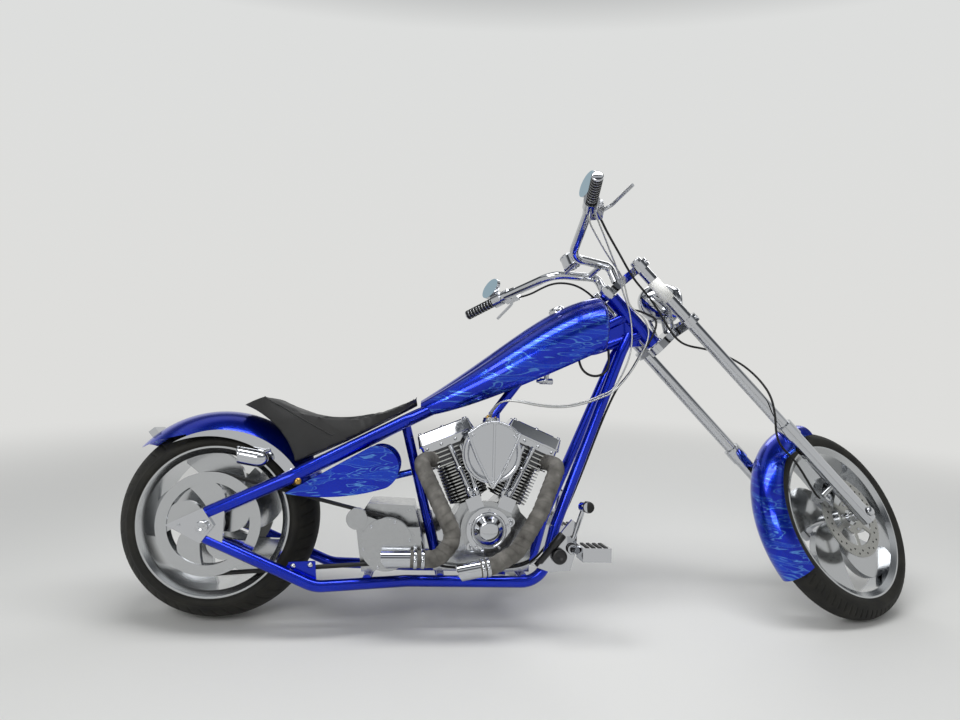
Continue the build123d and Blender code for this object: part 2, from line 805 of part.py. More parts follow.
def seat():
    """The seat as one closed solid: side profile, plan shape, and hollow over the fender."""
    side = make_face([
        Line((60, 0, 712), (150, 0, 746)),
        ThreePointArc((150, 0, 746), (400, 0, 676), (650, 0, 762)),
        Line((650, 0, 762), (656, 0, 728)),
        Line((656, 0, 728), (400, 0, 592)),
        Line((400, 0, 592), (256, 0, 524)),
        ThreePointArc((256, 0, 524), (190, 0, 640), (60, 0, 712)),
    ])
    block = extrude(side, amount=158, both=True)
    plan = make_face([
        ThreePointArc((40, 0, 400), (60, 80, 400), (160, 150, 400)),
        Line((160, 150, 400), (420, 146, 400)),
        ThreePointArc((420, 146, 400), (600, 90, 400), (680, 0, 400)),
        ThreePointArc((680, 0, 400), (600, -90, 400), (420, -146, 400)),
        Line((420, -146, 400), (160, -150, 400)),
        ThreePointArc((160, -150, 400), (60, -80, 400), (40, 0, 400)),
    ])
    block = block & extrude(plan, amount=500)
    clearance = soft_gap
    hollow = rear_fender_core(clearance)
    stay = bent_tube(stay_points, stay_radius + clearance, stay_bends)
    cross = rod((post_top_x, -100, post_top_z), (post_top_x, 100, post_top_z), cross_radius + clearance)
    backbone = rod(backbone_low, backbone_high, backbone_radius + clearance)
    return cut(block, hollow, stay, mirrored(stay), cross, backbone)


def rear_lights():
    """Bullet turn signals on short stalks, and a small tail lamp on the fender."""
    lamp = rod((150, -198, 540), (92, -202, 550), 27)
    stalk = rod((136, -198, 543), (174, -148, 566), 7)
    right = cut(lamp + stalk, fender_struts())
    tail = Pos(-232, 0, 610) * Rot(Y=-40) * Box(26, 96, 30)
    return together(right, mirrored(right), cut(tail, rear_fender_core(0)))


def forward_control():
    """A polished plate with a foot peg and a pedal."""
    plate = side_plate(
        [(1040, 214), (1110, 262), (1150, 326), (1180, 362), (1198, 350), (1196, 262), (1176, 196), (1110, 190)],
        -180,
        -166,
    )
    spacer = disc(1110, 235, -168, -rail_y, 14)
    peg = rod((1180, -180, 268), (1180, -200, 268), 16)
    block = Pos(1236, -252, 268) * Box(92, 96, 44)
    arm = rod((1186, -174, 300), (1212, -206, 402), 8)
    pad = rod((1212, -200, 408), (1216, -262, 412), 17)
    link = rod((1180, -196, 268), (1192, -214, 268), 12)
    return plate + spacer + peg + block + arm + pad + link


# Front end


def fork_clamp(along, with_stem):
    plane = fork_plane(along)
    leg_centres = [(axle_offset, -leg_spread), (axle_offset, leg_spread)]
    outline = make_hull(
        (Pos(axle_offset, -leg_spread) * Circle(34)).edges() + (Pos(axle_offset, leg_spread) * Circle(34)).edges()
    )
    tongue = make_hull(Circle(32).edges() + (Pos(axle_offset, 0) * Circle(60)).edges())
    clamp = extrude(plane * (outline + tongue), amount=clamp_thickness)
    for forward, left in leg_centres:
        hole = Plane(origin=fork_point(along - 5, forward, left), x_dir=axis_forward, z_dir=axis_up)
        clamp -= extrude(hole * Circle(fork_tube_radius + 0.05), amount=clamp_thickness + 10)
    return clamp


def fork_clamps():
    lower = fork_clamp(lower_clamp_along, True)
    upper = fork_clamp(upper_clamp_along, False)
    stem = rod(fork_point(lower_clamp_along + 1, 0), fork_point(upper_clamp_along + clamp_thickness + 14, 0), stem_radius)
    nut = rod(
        fork_point(upper_clamp_along + clamp_thickness, 0),
        fork_point(upper_clamp_along + clamp_thickness + 12, 0),
        24,
    )
    return lower + stem + upper + nut


def fork_tubes():
    legs = []
    for side in (-1, 1):
        low = fork_point(slider_length - 40, axle_offset, side * leg_spread)
        high = fork_point(fork_tube_top, axle_offset, side * leg_spread)
        legs.append(rod(low, high, fork_tube_radius))
    return together(*legs)


def fork_sliders():
    """Lower legs with the wheel's axle held between them."""
    pieces = []
    for side in (-1, 1):
        low = fork_point(-30, axle_offset, side * leg_spread)
        high = fork_point(slider_length, axle_offset, side * leg_spread)
        leg = rod(low, high, slider_radius - 4)
        collar = rod(fork_point(slider_length - 56, axle_offset, side * leg_spread), high, slider_radius)
        bore = rod(
            fork_point(slider_length - 41, axle_offset, side * leg_spread),
            fork_point(slider_length + 1, axle_offset, side * leg_spread),
            fork_tube_radius + 0.05,
        )
        pieces.append(leg + collar - bore)
    shaft = disc(wheelbase, front_tyre_radius, -leg_spread - 30, leg_spread + 30, axle_radius)
    spacer = disc(wheelbase, front_tyre_radius, -leg_spread, -front_hub_half_length - 12, 20)
    spacer_left = disc(wheelbase, front_tyre_radius, leg_spread, front_hub_half_length + 1, 20)
    return pieces[0] + pieces[1] + shaft + spacer + spacer_left


def headlight():
    """A bullet lamp shell with a deep rim, on a post from the lower clamp."""
    centre = Vector(1640, 0, 1180)
    profile = make_face([
        Line((0, 0), (0, headlight_radius)),
        Line((0, headlight_radius), (-22, headlight_radius)),
        ThreePointArc((-22, headlight_radius), (-104, headlight_radius * 0.72), (-142, 0)),
        Line((-142, 0), (0, 0)),
    ])
    shell = Pos(*centre) * revolve(profile, axis=Axis.X, revolution_arc=360)
    post = rod(fork_point(lower_clamp_along + clamp_thickness - 2, 106), (1600, 0, 1125), 12)
    return cut(shell + post, fork_clamp(lower_clamp_along, True))


bar_points = [
    fork_point(upper_clamp_along + clamp_thickness, 34, -36),
    (1338, -40, 1262),
    (1150, -58, 1244),
    (1061, -305, 1264),
    (986, -440, 1249),
]
bar_bends = [26, 80, 160]


def handlebar():
    """Pull-back bars in one pair of bends each side, tied together over the top clamp."""
    right = bent_tube(bar_points, bar_radius, bar_bends)
    tie = rod((1300, -45, 1258), (1300, 45, 1258), 11)
    cup = rod((1196, 0, 1252), (1186, 0, 1292), 32)
    stay = rod((1192, -50, 1250), (1192, 50, 1250), 8)
    return cut(right + mirrored(right) + tie + cup + stay, fork_clamps())


def grips():
    start = Vector(1061, -305, 1264)
    end = Vector(986, -440, 1249)
    way = (end - start).normalized()
    sleeve = rod(start + way * 30, end + way * 4, grip_radius)
    sleeve = sleeve - rod(start, end, bar_radius + 0.05)
    return both_sides(sleeve)


def hand_controls():
    start = Vector(1061, -305, 1264)
    end = Vector(986, -440, 1249)
    way = (end - start).normalized()
    housing = rod(start - way * 8, start + way * 28, 27)
    clamp = rod(start - way * 44, start - way * 14, 22)
    reservoir = Pos(1098, -282, 1272) * Rot(Z=-30) * Box(48, 60, 34)
    lever = bent_tube([(1112, -286, 1266), (1128, -330, 1266), (1126, -440, 1262)], 6, 30)
    bar = bent_tube(bar_points, bar_radius + 0.05, bar_bends)
    return both_sides(cut(housing + clamp + reservoir + lever, bar))


def mirrors():
    post = rod((1084, -290, 1278), (1046, -334, 1318), 5)
    glass = Plane(origin=(1050, -334, 1322), z_dir=(-1, 0.12, 0.1)) * Ellipse(52, 36)
    head = extrude(glass, amount=14)
    right = post + head
    return cut(both_sides(right), hand_controls())


def front_fender():
    skin = fender_skin(front_tyre_radius, front_fender_half_width, 326.0, 100, 214)
    skin = Pos(*front_axle_centre) * skin
    stay = rod(
        fork_point(330, axle_offset, -leg_spread + slider_radius - 8),
        fork_point(330, axle_offset - 40, -front_fender_half_width + 5),
        8,
    )
    return cut(skin + stay + mirrored(stay), fork_sliders())


def front_caliper():
    """The caliper on the near rotor, bolted to the near lower leg."""
    angle = 180 + 37
    body = caliper(front_rotor_radius - 8, front_rotor_radius, 44)
    body = Pos(0, -rotor_centre_y, 0) * body
    body = Pos(*front_axle_centre) * Rot(Y=angle + 90) * body
    arm = rod(
        fork_point(150, axle_offset - 60, -rotor_centre_y - 18),
        fork_point(150, axle_offset - 6, -leg_spread),
        10,
    )
    return cut(body + arm, fork_sliders())


# Side stand


def stand_points():
    """Pivot and foot of the side stand where it rests."""
    pivot = placed_point(standing, Vector(stand_pivot_x, rail_y + 34, stand_pivot_z))
    foot = Vector(pivot.X + stand_reach_forward, pivot.Y + stand_reach_out, 0)
    return pivot, foot


def stand_axis():
    """The hinge line that takes the leg from its stop to lie back along the rail."""
    pivot, foot = stand_points()
    leg = (foot - pivot).normalized()
    back = Vector(-1, 0.10, 0.06).normalized()
    return leg.cross(back).normalized()


def stand_bracket():
    """The lug on the left rail that carries the stand's pin, drawn on the upright machine."""
    pivot, _ = stand_points()
    axis = stand_axis()
    pin = rod(pivot - axis * 24, pivot + axis * 24, stand_pin_radius)
    head = rod(pivot + axis * 18, pivot + axis * 24, stand_pin_radius + 5)
    ear_plane = Plane(origin=pivot - axis * 24, z_dir=axis)
    rail_point = placed_point(standing, Vector(stand_pivot_x, rail_y, 148))
    inner = ear_plane.to_local_coords(rail_point)
    ear = make_hull(Circle(20).edges() + (Pos(inner.X, inner.Y) * Circle(16)).edges())
    lug = (pin + head + extrude(ear_plane * ear, amount=10)).moved(standing.inverse())
    rail = rod((900, rail_y, 148), (1060, rail_y, 148), rail_radius)
    return lug - rail


def side_stand():
    """The leg with its eye round the pin and its foot flat on the ground."""
    pivot, foot = stand_points()
    axis = stand_axis()
    eye = rod(pivot - axis * 13.5, pivot + axis * 17.5, 18)
    leg = rod(pivot, foot + Vector(0, 0, 6), stand_leg_radius)
    pad = Pos(foot.X, foot.Y + 6, 4) * Cylinder(26, 8)
    below = Pos(foot.X, foot.Y, -25) * Box(400, 400, 50)
    hole = rod(pivot - axis * 30, pivot + axis * 30, stand_pin_radius + bearing_clearance)
    return (eye + leg + pad) - below - hole


# Assembly


def chassis_pieces():
    pieces = frame_pieces()
    right_plate = axle_plate_pieces()
    stays = pieces["frame_stays"]
    rails = pieces["frame_lower_rails"]
    plates = cut(both_sides(right_plate), stays, rails)
    pieces["axle_plates"] = plates
    pieces["rear_axle"] = rear_axle()
    pieces["drive_belt"] = drive_belt()
    pieces["rear_caliper"] = cut(rear_caliper(), pieces["rear_axle"])
    pieces["crankcase"] = crankcase()
    pieces["cylinder_rear"] = finned_cylinder(-1)
    pieces["cylinder_front"] = finned_cylinder(1)
    pieces["rocker_boxes"] = together(rocker_box(-1), rocker_box(1))
    pieces["cam_cover"] = cam_cover()
    pieces["pushrod_tubes"] = pushrod_tubes()
    pieces["air_cleaner"] = air_cleaner()
    pieces["carburettor"] = carburettor()
    cylinders = [pieces["cylinder_rear"], pieces["cylinder_front"]]
    pieces["carburettor"] = cut(pieces["carburettor"], *cylinders)
    boxes = pieces["rocker_boxes"]
    rear_pipe = exhaust_pipe(exhaust_rear_points, [40, 90, 60, 50])
    front_pipe = exhaust_pipe(exhaust_front_points, [36, 90, 80, 40])
    pieces["exhaust_pipe_rear"] = cut(rear_pipe, cylinders[0], boxes)
    pieces["exhaust_pipe_front"] = cut(front_pipe, cylinders[1], boxes)
    pieces["exhaust_tips"] = exhaust_tips()
    pieces["transmission"] = transmission()
    pieces["transmission_cover"] = transmission_cover()
    pieces["primary_cover"] = primary_cover()
    pieces["oil_tank"] = oil_tank()
    pieces["fuel_tank"] = fuel_tank()
    pieces["seat"] = seat()
    pieces["rear_fender"] = rear_fender()
    pieces["fender_struts"] = cut(fender_struts(), stays)
    pieces["seat"] = cut(pieces["seat"], fender_struts())
    pieces["rear_lights"] = rear_lights()
    pieces["forward_controls"] = cut(both_sides(forward_control()), rails)
    return pieces


def fork_pieces():
    return {
        "fork_clamps": fork_clamps(),
        "fork_tubes": fork_tubes(),
        "fork_sliders": fork_sliders(),
        "headlight": headlight(),
        "handlebar": handlebar(),
        "grips": grips(),
        "hand_controls": hand_controls(),
        "mirrors": mirrors(),
        "front_fender": front_fender(),
        "front_caliper": front_caliper(),
    }


def parked(pieces, steered):
    """Turn the front end to its stop, then lean the piece on the ground."""
    placed = {}
    for name, shape in pieces.items():
        if steered:
            shape = shape.rotate(steer_axis_bike, steer_lock_deg)
        placed[name] = shape.moved(standing)
    return placed


bodies = {
    "chassis": parked(chassis_pieces(), False),
    "fork": parked(fork_pieces(), True),
    "front_wheel": parked(front_wheel_pieces(), True),
    "rear_wheel": parked(rear_wheel_pieces(), False),
    "side_stand": {"side_stand": side_stand()},
}

# The origin is on the ground under the middle of the whole machine
box = Compound([s for body in bodies.values() for shape in body.values() for s in shape.solids()]).bounding_box()
origin_shift = Location((-(box.min.X + box.max.X) / 2, -(box.min.Y + box.max.Y) / 2, 0))

for body in bodies.values():
    for node, shape in body.items():
        body[node] = shape.moved(origin_shift)

if __name__ == "__main__":
    os.makedirs("parts", exist_ok=True)
    for body in bodies.values():
        for node, shape in body.items():
            export_step(shape, f"parts/{node}.step")
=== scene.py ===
import json
import math

import bpy
from mathutils import Matrix, Vector, noise
from mathutils.bvhtree import BVHTree


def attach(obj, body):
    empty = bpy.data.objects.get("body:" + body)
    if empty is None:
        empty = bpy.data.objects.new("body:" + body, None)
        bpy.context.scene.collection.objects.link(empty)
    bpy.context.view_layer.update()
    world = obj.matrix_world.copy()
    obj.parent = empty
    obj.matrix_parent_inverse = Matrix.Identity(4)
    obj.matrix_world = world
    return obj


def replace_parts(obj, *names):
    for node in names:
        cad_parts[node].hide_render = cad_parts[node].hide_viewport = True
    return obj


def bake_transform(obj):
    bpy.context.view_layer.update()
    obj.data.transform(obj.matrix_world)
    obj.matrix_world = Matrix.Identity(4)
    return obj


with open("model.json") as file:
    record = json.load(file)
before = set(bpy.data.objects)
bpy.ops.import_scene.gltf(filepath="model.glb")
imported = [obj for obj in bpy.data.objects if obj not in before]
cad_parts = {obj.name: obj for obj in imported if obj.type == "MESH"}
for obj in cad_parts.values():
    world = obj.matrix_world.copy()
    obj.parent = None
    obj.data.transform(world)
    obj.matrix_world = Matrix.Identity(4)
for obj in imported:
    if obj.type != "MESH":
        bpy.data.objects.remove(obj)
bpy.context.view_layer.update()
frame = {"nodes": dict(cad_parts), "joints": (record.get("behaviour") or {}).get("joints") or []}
nodes = frame["nodes"]
joints = {joint["name"]: joint for joint in frame["joints"]}
scene = bpy.context.scene
MM = 0.001


# Places on the machine

def axes_matrix(origin, forward, left, up):
    """A frame whose x runs forward, y left and z up, with its origin in the row frame."""
    turned = Matrix((forward, left, up)).transposed().to_4x4()
    return Matrix.Translation(origin) @ turned


# The upright machine: x from the rear axle, y from its middle plane, z from the ground
PITCH = math.radians(0.508)
REAR_TYRE_RADIUS = 328
FRONT_TYRE_RADIUS = 350
rear_hub = Vector(joints["rear_wheel_spin"]["pos_m"])
machine_left = Vector(joints["rear_wheel_spin"]["axis"]).normalized()
lean = math.atan2(-machine_left.z, machine_left.y)
dip = -math.sin(PITCH)
machine_forward = Vector((math.cos(PITCH), dip * math.sin(lean), dip * math.cos(lean)))
machine_up = machine_forward.cross(machine_left)
ground = rear_hub - machine_up * REAR_TYRE_RADIUS * MM
machine = axes_matrix(ground, machine_forward, machine_left, machine_up)

# The front end: z along the steering axis from its foot, x ahead of it, y to the left
fork_up = Vector(joints["steering"]["axis"]).normalized()
fork_left = Vector(joints["front_wheel_spin"]["axis"]).normalized()
fork_foot = Vector(joints["steering"]["pos_m"]) - fork_up
fork = axes_matrix(fork_foot, fork_left.cross(fork_up), fork_left, fork_up)
front_hub = Vector(joints["front_wheel_spin"]["pos_m"])


def on(place, x, y, z):
    """A point given in millimetres in one of those frames, in the row frame."""
    return place @ (Vector((x, y, z)) * MM)


# The front end with its steering straight, and the turn that takes it to its stop
RAKE = math.radians(43.7)
STEERING_FOOT = (2178.08, 0, 293.69)
straight_fork = axes_matrix(
    on(machine, *STEERING_FOOT),
    machine_forward * math.cos(RAKE) + machine_up * math.sin(RAKE),
    machine_left,
    machine_up * math.cos(RAKE) - machine_forward * math.sin(RAKE),
)
steered = fork @ straight_fork.inverted() @ machine

PLACES = {
    "chassis": machine,
    "fork": fork,
    "rear_wheel": axes_matrix(rear_hub, machine_forward, machine_left, machine_up),
    "front_wheel": axes_matrix(front_hub, fork_left.cross(fork_up), fork_left, fork_up),
}
SIDES = ((-1, "right"), (1, "left"))
CYLINDERS = ((-1, "rear"), (1, "front"))
CRANK = Vector((910, 0, 256))
CYLINDER_SLANT = math.radians(22.5)


def cylinder_place(side):
    """The frame of one cylinder: z up its bore from the crankshaft, x fore and aft."""
    angle = CYLINDER_SLANT * side
    along = machine.to_3x3() @ Vector((math.sin(angle), 0, math.cos(angle)))
    fore = machine.to_3x3() @ Vector((math.cos(angle), 0, -math.sin(angle)))
    return axes_matrix(on(machine, *CRANK), fore, machine_left, along)


# Materials

def linear(colour):
    """A hex sRGB colour as the linear values that a shader takes."""
    channels = [int(colour[i:i + 2], 16) / 255 for i in (1, 3, 5)]
    return tuple(c / 12.92 if c <= 0.04045 else ((c + 0.055) / 1.055) ** 2.4 for c in channels) + (1.0,)


def node(tree, kind, sockets=(), output=0, stops=(), **settings):
    """Adds one node with its settings, links and values, and gives one of its outputs. Sockets go by name
    or in order, and stops are a colour ramp's positions and hex colours."""
    made = tree.nodes.new("ShaderNode" + kind)
    for name, value in settings.items():
        setattr(made, name, value)
    for name, value in (sockets.items() if isinstance(sockets, dict) else enumerate(sockets)):
        if isinstance(value, bpy.types.NodeSocket):
            tree.links.new(value, made.inputs[name])
        else:
            made.inputs[name].default_value = value
    while stops and len(made.color_ramp.elements) < len(stops):
        made.color_ramp.elements.new(0.5)
    for stop, (position, colour) in enumerate(stops):
        made.color_ramp.elements[stop].position = position
        made.color_ramp.elements[stop].color = linear(colour)
    return made.outputs[output]


def finish(name, colour, roughness, metallic=0.0, **sockets):
    """A named material with its shader's plain values set, and its tree."""
    made = bpy.data.materials.new(name)
    made.use_nodes = True
    shader = made.node_tree.nodes["Principled BSDF"]
    shader.inputs["Base Color"].default_value = linear(colour)
    shader.inputs["Roughness"].default_value = roughness
    shader.inputs["Metallic"].default_value = metallic
    for socket, value in sockets.items():
        shader.inputs[socket.replace("_", " ")].default_value = value
    return made, made.node_tree


def dressed(made, relief, **patterns):
    """Feeds patterns to a shader. The relief is a pattern, its depth in millimetres and its strength."""
    tree = made.node_tree
    shader = tree.nodes["Principled BSDF"]
    for socket, pattern in patterns.items():
        tree.links.new(pattern, shader.inputs[socket.replace("_", " ")])
    if relief:
        height, depth, strength = relief
        sockets = {"Height": height, "Distance": depth * MM, "Strength": strength}
        tree.links.new(node(tree, "Bump", sockets, "Normal"), shader.inputs["Normal"])
    return made


def cloud(tree, size_mm, detail=3.0):
    """Soft patches about size_mm across."""
    point = node(tree, "TexCoord", output="Object")
    return node(tree, "TexNoise", {"Vector": point, "Scale": 1000 / size_mm, "Detail": detail}, "Fac")


def cells(tree, size_mm, randomness=1.0, **settings):
    """A net of cells about size_mm across."""
    point = node(tree, "TexCoord", output="Object")
    sockets = {"Vector": point, "Scale": 1000 / size_mm, "Randomness": randomness}
    return node(tree, "TexVoronoi", sockets, "Distance", **settings)


def lathe_rings(tree, centre, axis, scale, detail, roughness=0.5):
    """Rings round an axle, by the distance from it in millimetres."""
    point = node(tree, "TexCoord", output="Object")
    offset = node(tree, "VectorMath", [point, tuple(centre)], operation="SUBTRACT")
    across = node(tree, "VectorMath", [offset, tuple(axis)], operation="CROSS_PRODUCT")
    reach = node(tree, "VectorMath", [across], "Value", operation="LENGTH")
    reach = node(tree, "Math", [reach, 1000.0], operation="MULTIPLY")
    sockets = {"W": reach, "Scale": scale, "Detail": detail, "Roughness": roughness}
    return node(tree, "TexNoise", sockets, "Fac", noise_dimensions="1D")


def ghost_flames(tree, colour, slope, length, width):
    """Paler licks of flame on the flanks, at a slope in degrees, with their sizes in millimetres."""
    turned = node(tree, "Mapping", {
        "Vector": node(tree, "TexCoord", output="Object"), "Rotation": (0, math.radians(slope), 0),
        "Scale": (1000 / length, 1000 / length * 0.8, 1000 / width),
    })
    licks = node(tree, "TexNoise", {
        "Vector": turned, "Scale": 1.0, "Detail": 1.6, "Roughness": 0.45, "Distortion": 1.5,
    }, "Fac")
    lines = []
    for level, half_width, strength in ((0.5, 0.022, 1.0), (0.6, 0.014, 0.7)):
        off = node(tree, "Math", [licks, level], operation="SUBTRACT")
        off = node(tree, "Math", [off], operation="ABSOLUTE")
        lines.append(node(tree, "MapRange", [off, 0.0, half_width, strength, 0.0]))
    normal = node(tree, "NewGeometry", output="Normal")
    upward = node(tree, "VectorMath", [normal, tuple(machine_up)], "Value", operation="DOT_PRODUCT")
    shown = node(tree, "MapRange", [upward, 0.35, 0.75, 1.0, 0.0])
    edge = node(tree, "Math", [node(tree, "Math", lines, operation="MAXIMUM"), shown], operation="MULTIPLY")
    inside = node(tree, "MapRange", [licks, 0.5, 0.62, 0.0, 0.3])
    fill = node(tree, "Math", [inside, shown], operation="MULTIPLY")
    body = node(tree, "Mix", {0: fill, 6: colour, 7: linear("#1c58d8")}, 2, data_type="RGBA")
    edge = node(tree, "Math", [edge, 0.55], operation="MULTIPLY")
    return node(tree, "Mix", {0: edge, 6: body, 7: linear("#6fb4f0")}, 2, data_type="RGBA")


def candy_lacquer(name, flames=None):
    """Sprayed candy blue over a silver base: a deep wet blue that flares where it meets the light.
    flames is the slope, the length and the width of paler ghost flames under the clear coat.
    The flake is drawn coarser than the real one, so that it shows."""
    made, tree = finish(name, "#0626b4", 0.22, 0.85, Coat_Weight=0.4, Coat_Roughness=0.02)
    colour = node(tree, "ValToRGB", [cloud(tree, 160, 2.0)], stops=[(0.3, "#0522a6"), (0.7, "#072cc0")])
    if flames:
        colour = ghost_flames(tree, colour, *flames)
    flake = cloud(tree, 0.9, 1.0)
    spark = node(tree, "MapRange", [flake, 0.35, 0.75, 0.86, 1.2])
    shaded = node(tree, "VectorMath", {0: colour, "Scale": spark}, operation="SCALE")
    return dressed(made, (flake, 0.02, 0.2), Base_Color=shaded)


def chrome_plate():
    """Bright chrome over polished steel: a clean mirror with faint wipe marks."""
    made, tree = finish("bright_chrome_plate", "#c3c5c9", 0.05, 1.0)
    return dressed(made, None, Roughness=node(tree, "MapRange", [cloud(tree, 34, 4.0), 0.3, 0.75, 0.03, 0.1]))


def polished_aluminium():
    """Cast aluminium polished by hand: soft mirror with a slight cloud in it."""
    made, tree = finish("polished_cast_aluminium", "#b2b4b6", 0.2, 1.0)
    gloss = node(tree, "MapRange", [cloud(tree, 18, 5.0), 0.25, 0.8, 0.12, 0.3])
    return dressed(made, (cloud(tree, 7, 2.0), 0.05, 0.3), Roughness=gloss)


def turned_aluminium(name, centre, axis):
    """Billet aluminium turned on a lathe and polished: hair-fine rings round the hub."""
    made, tree = finish(name, "#bbbdbf", 0.16, 1.0)
    rings = lathe_rings(tree, centre, axis, 0.9, 3.0)
    return dressed(made, (rings, 0.03, 0.4), Roughness=node(tree, "MapRange", [rings, 0.3, 0.7, 0.1, 0.24]))


def brushed_steel(name, centre, axis):
    """Ground stainless brake disc: grey, with fine rings that the pads have worn in."""
    made, tree = finish(name, "#a9a9a6", 0.33, 1.0)
    rings = lathe_rings(tree, centre, axis, 1.1, 5.0, 0.7)
    tone = node(tree, "ValToRGB", [rings], stops=[(0.3, "#8f8f8c"), (0.7, "#bdbdb9")])
    gloss = node(tree, "MapRange", [rings, 0.3, 0.7, 0.24, 0.44])
    return dressed(made, (rings, 0.04, 0.5), Base_Color=tone, Roughness=gloss)


# How far from the bore's middle the fin rims start, how far above the crankshaft the head starts,
# and half the width within which the head is painted darker, as shade between its fins, all in metres
FIN_RIM, HEAD_FOOT, HEAD_SHADE_HALF_WIDTH = 0.066, 0.306, 0.0705


def black_fins(name, side):
    """Black enamelled cylinder whose fin rims are machined back to bright metal, under a bright metal head
    with painted shade between its fins.
    """
    made, tree = finish(name, "#0c0c0d", 0.42)
    place = cylinder_place(side)
    along = tuple(place.to_3x3().col[2].normalized())
    normal = node(tree, "NewGeometry", output="Normal")
    turn = node(tree, "VectorMath", [normal, along], "Value", operation="DOT_PRODUCT")
    point = node(tree, "TexCoord", output="Object")
    offset = node(tree, "VectorMath", [point, tuple(place.translation)], operation="SUBTRACT")
    across = node(tree, "VectorMath", [offset, along], operation="CROSS_PRODUCT")
    reach = node(tree, "VectorMath", [across], "Value", operation="LENGTH")
    climb = node(tree, "VectorMath", [offset, along], "Value", operation="DOT_PRODUCT")
    aside = node(tree, "VectorMath", [offset, tuple(machine_left)], "Value", operation="DOT_PRODUCT")
    turn = node(tree, "Math", [turn], operation="ABSOLUTE")
    edge_on = node(tree, "Math", [turn, 0.5], operation="LESS_THAN")
    outside = node(tree, "Math", [reach, FIN_RIM], operation="GREATER_THAN")
    rim = node(tree, "Math", [edge_on, outside], operation="MULTIPLY")
    head = node(tree, "Math", [climb, HEAD_FOOT], operation="GREATER_THAN")
    bright = node(tree, "Math", [rim, head], operation="MAXIMUM")
    aside = node(tree, "Math", [aside], operation="ABSOLUTE")
    inside = node(tree, "Math", [aside, HEAD_SHADE_HALF_WIDTH], operation="LESS_THAN")
    painted_gap_shade = node(tree, "Math", [head, inside], operation="MULTIPLY")
    # Painted shade: near the middle plane the head's metal is dark grey, standing in for the shade between
    # its fins
    metal = node(tree, "Mix", {0: painted_gap_shade, 6: linear("#bfc0be"), 7: linear("#4c4d4f")}, 2, data_type="RGBA")
    shade = node(tree, "Mix", {0: bright, 6: linear("#0c0c0d"), 7: metal}, 2, data_type="RGBA")
    gloss = node(tree, "MapRange", [bright, 0.0, 1.0, 0.45, 0.26])
    return dressed(made, (cloud(tree, 2.2), 0.12, 0.4), Base_Color=shade, Metallic=bright, Roughness=gloss)


def heat_wrap():
    """Woven glass-fibre tape that heat has greyed: dull, with its threads showing."""
    made, tree = finish("woven_glass_heat_wrap", "#857f76", 0.92, Specular_IOR_Level=0.2)
    soil = [(0.25, "#4b4946"), (0.55, "#6c6a66"), (0.8, "#8a8782")]
    tone = node(tree, "ValToRGB", [cloud(tree, 42, 5.0)], stops=soil)
    return dressed(made, (cells(tree, 2.4), 0.5, 0.6), Base_Color=tone)


def tyre_rubber():
    """Moulded tyre rubber: brown-black and dull, with dust in its grooves."""
    made, tree = finish("moulded_tyre_rubber", "#191918", 0.72, Specular_IOR_Level=0.35)
    dust = node(tree, "ValToRGB", [cloud(tree, 60, 6.0)], stops=[(0.3, "#121211"), (0.7, "#25241f")])
    return dressed(made, (cloud(tree, 1.6, 2.0), 0.15, 0.4), Base_Color=dust)


def black_rubber():
    """Moulded black rubber with a fine dull grain."""
    made, tree = finish("moulded_black_rubber", "#101010", 0.6, Specular_IOR_Level=0.4)
    return dressed(made, (cloud(tree, 1.2, 2.0), 0.1, 0.5))


def seat_leather():
    """Smooth black leather: fine pebble, slightly greyed and shiny where it is sat on."""
    made, tree = finish("smooth_black_leather", "#161617", 0.48, Specular_IOR_Level=0.45)
    pebble = cells(tree, 2.6, 0.9, feature="DISTANCE_TO_EDGE")
    wear = cloud(tree, 90)
    tone = node(tree, "ValToRGB", [wear], stops=[(0.3, "#121213"), (0.7, "#212121")])
    gloss = node(tree, "MapRange", [wear, 0.3, 0.7, 0.4, 0.56])
    raised = node(tree, "MapRange", [pebble, 0.0, 0.12, 0.0, 1.0])
    return dressed(made, (raised, 0.12, 0.5), Base_Color=tone, Roughness=gloss)


def plain_finish(name, colour, roughness, metallic=0.0, grain_mm=2.0, relief_mm=0.03):
    """A small part's finish: one colour with a fine cast or moulded grain."""
    made, tree = finish(name, colour, roughness, metallic)
    grain = cloud(tree, grain_mm, 2.0)
    gloss = node(tree, "MapRange", [grain, 0.3, 0.7, roughness * 0.85, min(1.0, roughness * 1.2)])
    return dressed(made, (grain, relief_mm, 0.4), Roughness=gloss)


def steel_braid():
    """Cable outer in silver braid: fine crossing strands."""
    made, tree = finish("silver_cable_braid", "#a7a8a6", 0.38, 0.85)
    strands = cells(tree, 1.6)
    tone = node(tree, "ValToRGB", [strands], stops=[(0.1, "#8c8d8b"), (0.6, "#c4c5c2")])
    return dressed(made, (strands, 0.2, 0.5), Base_Color=tone)


def lens(name, colour):
    """Coloured lamp lens: clear moulded plastic over small prisms."""
    made, tree = finish(name, colour, 0.08, Coat_Weight=0.6, Coat_Roughness=0.03)
    return dressed(made, (cells(tree, 4.0), 0.4, 0.5))


def mirror_glass():
    """Blue-tinted mirror glass, silvered behind: a clean cool mirror."""
    return finish("blue_mirror_glass", "#9fb8c6", 0.03, 1.0)[0]


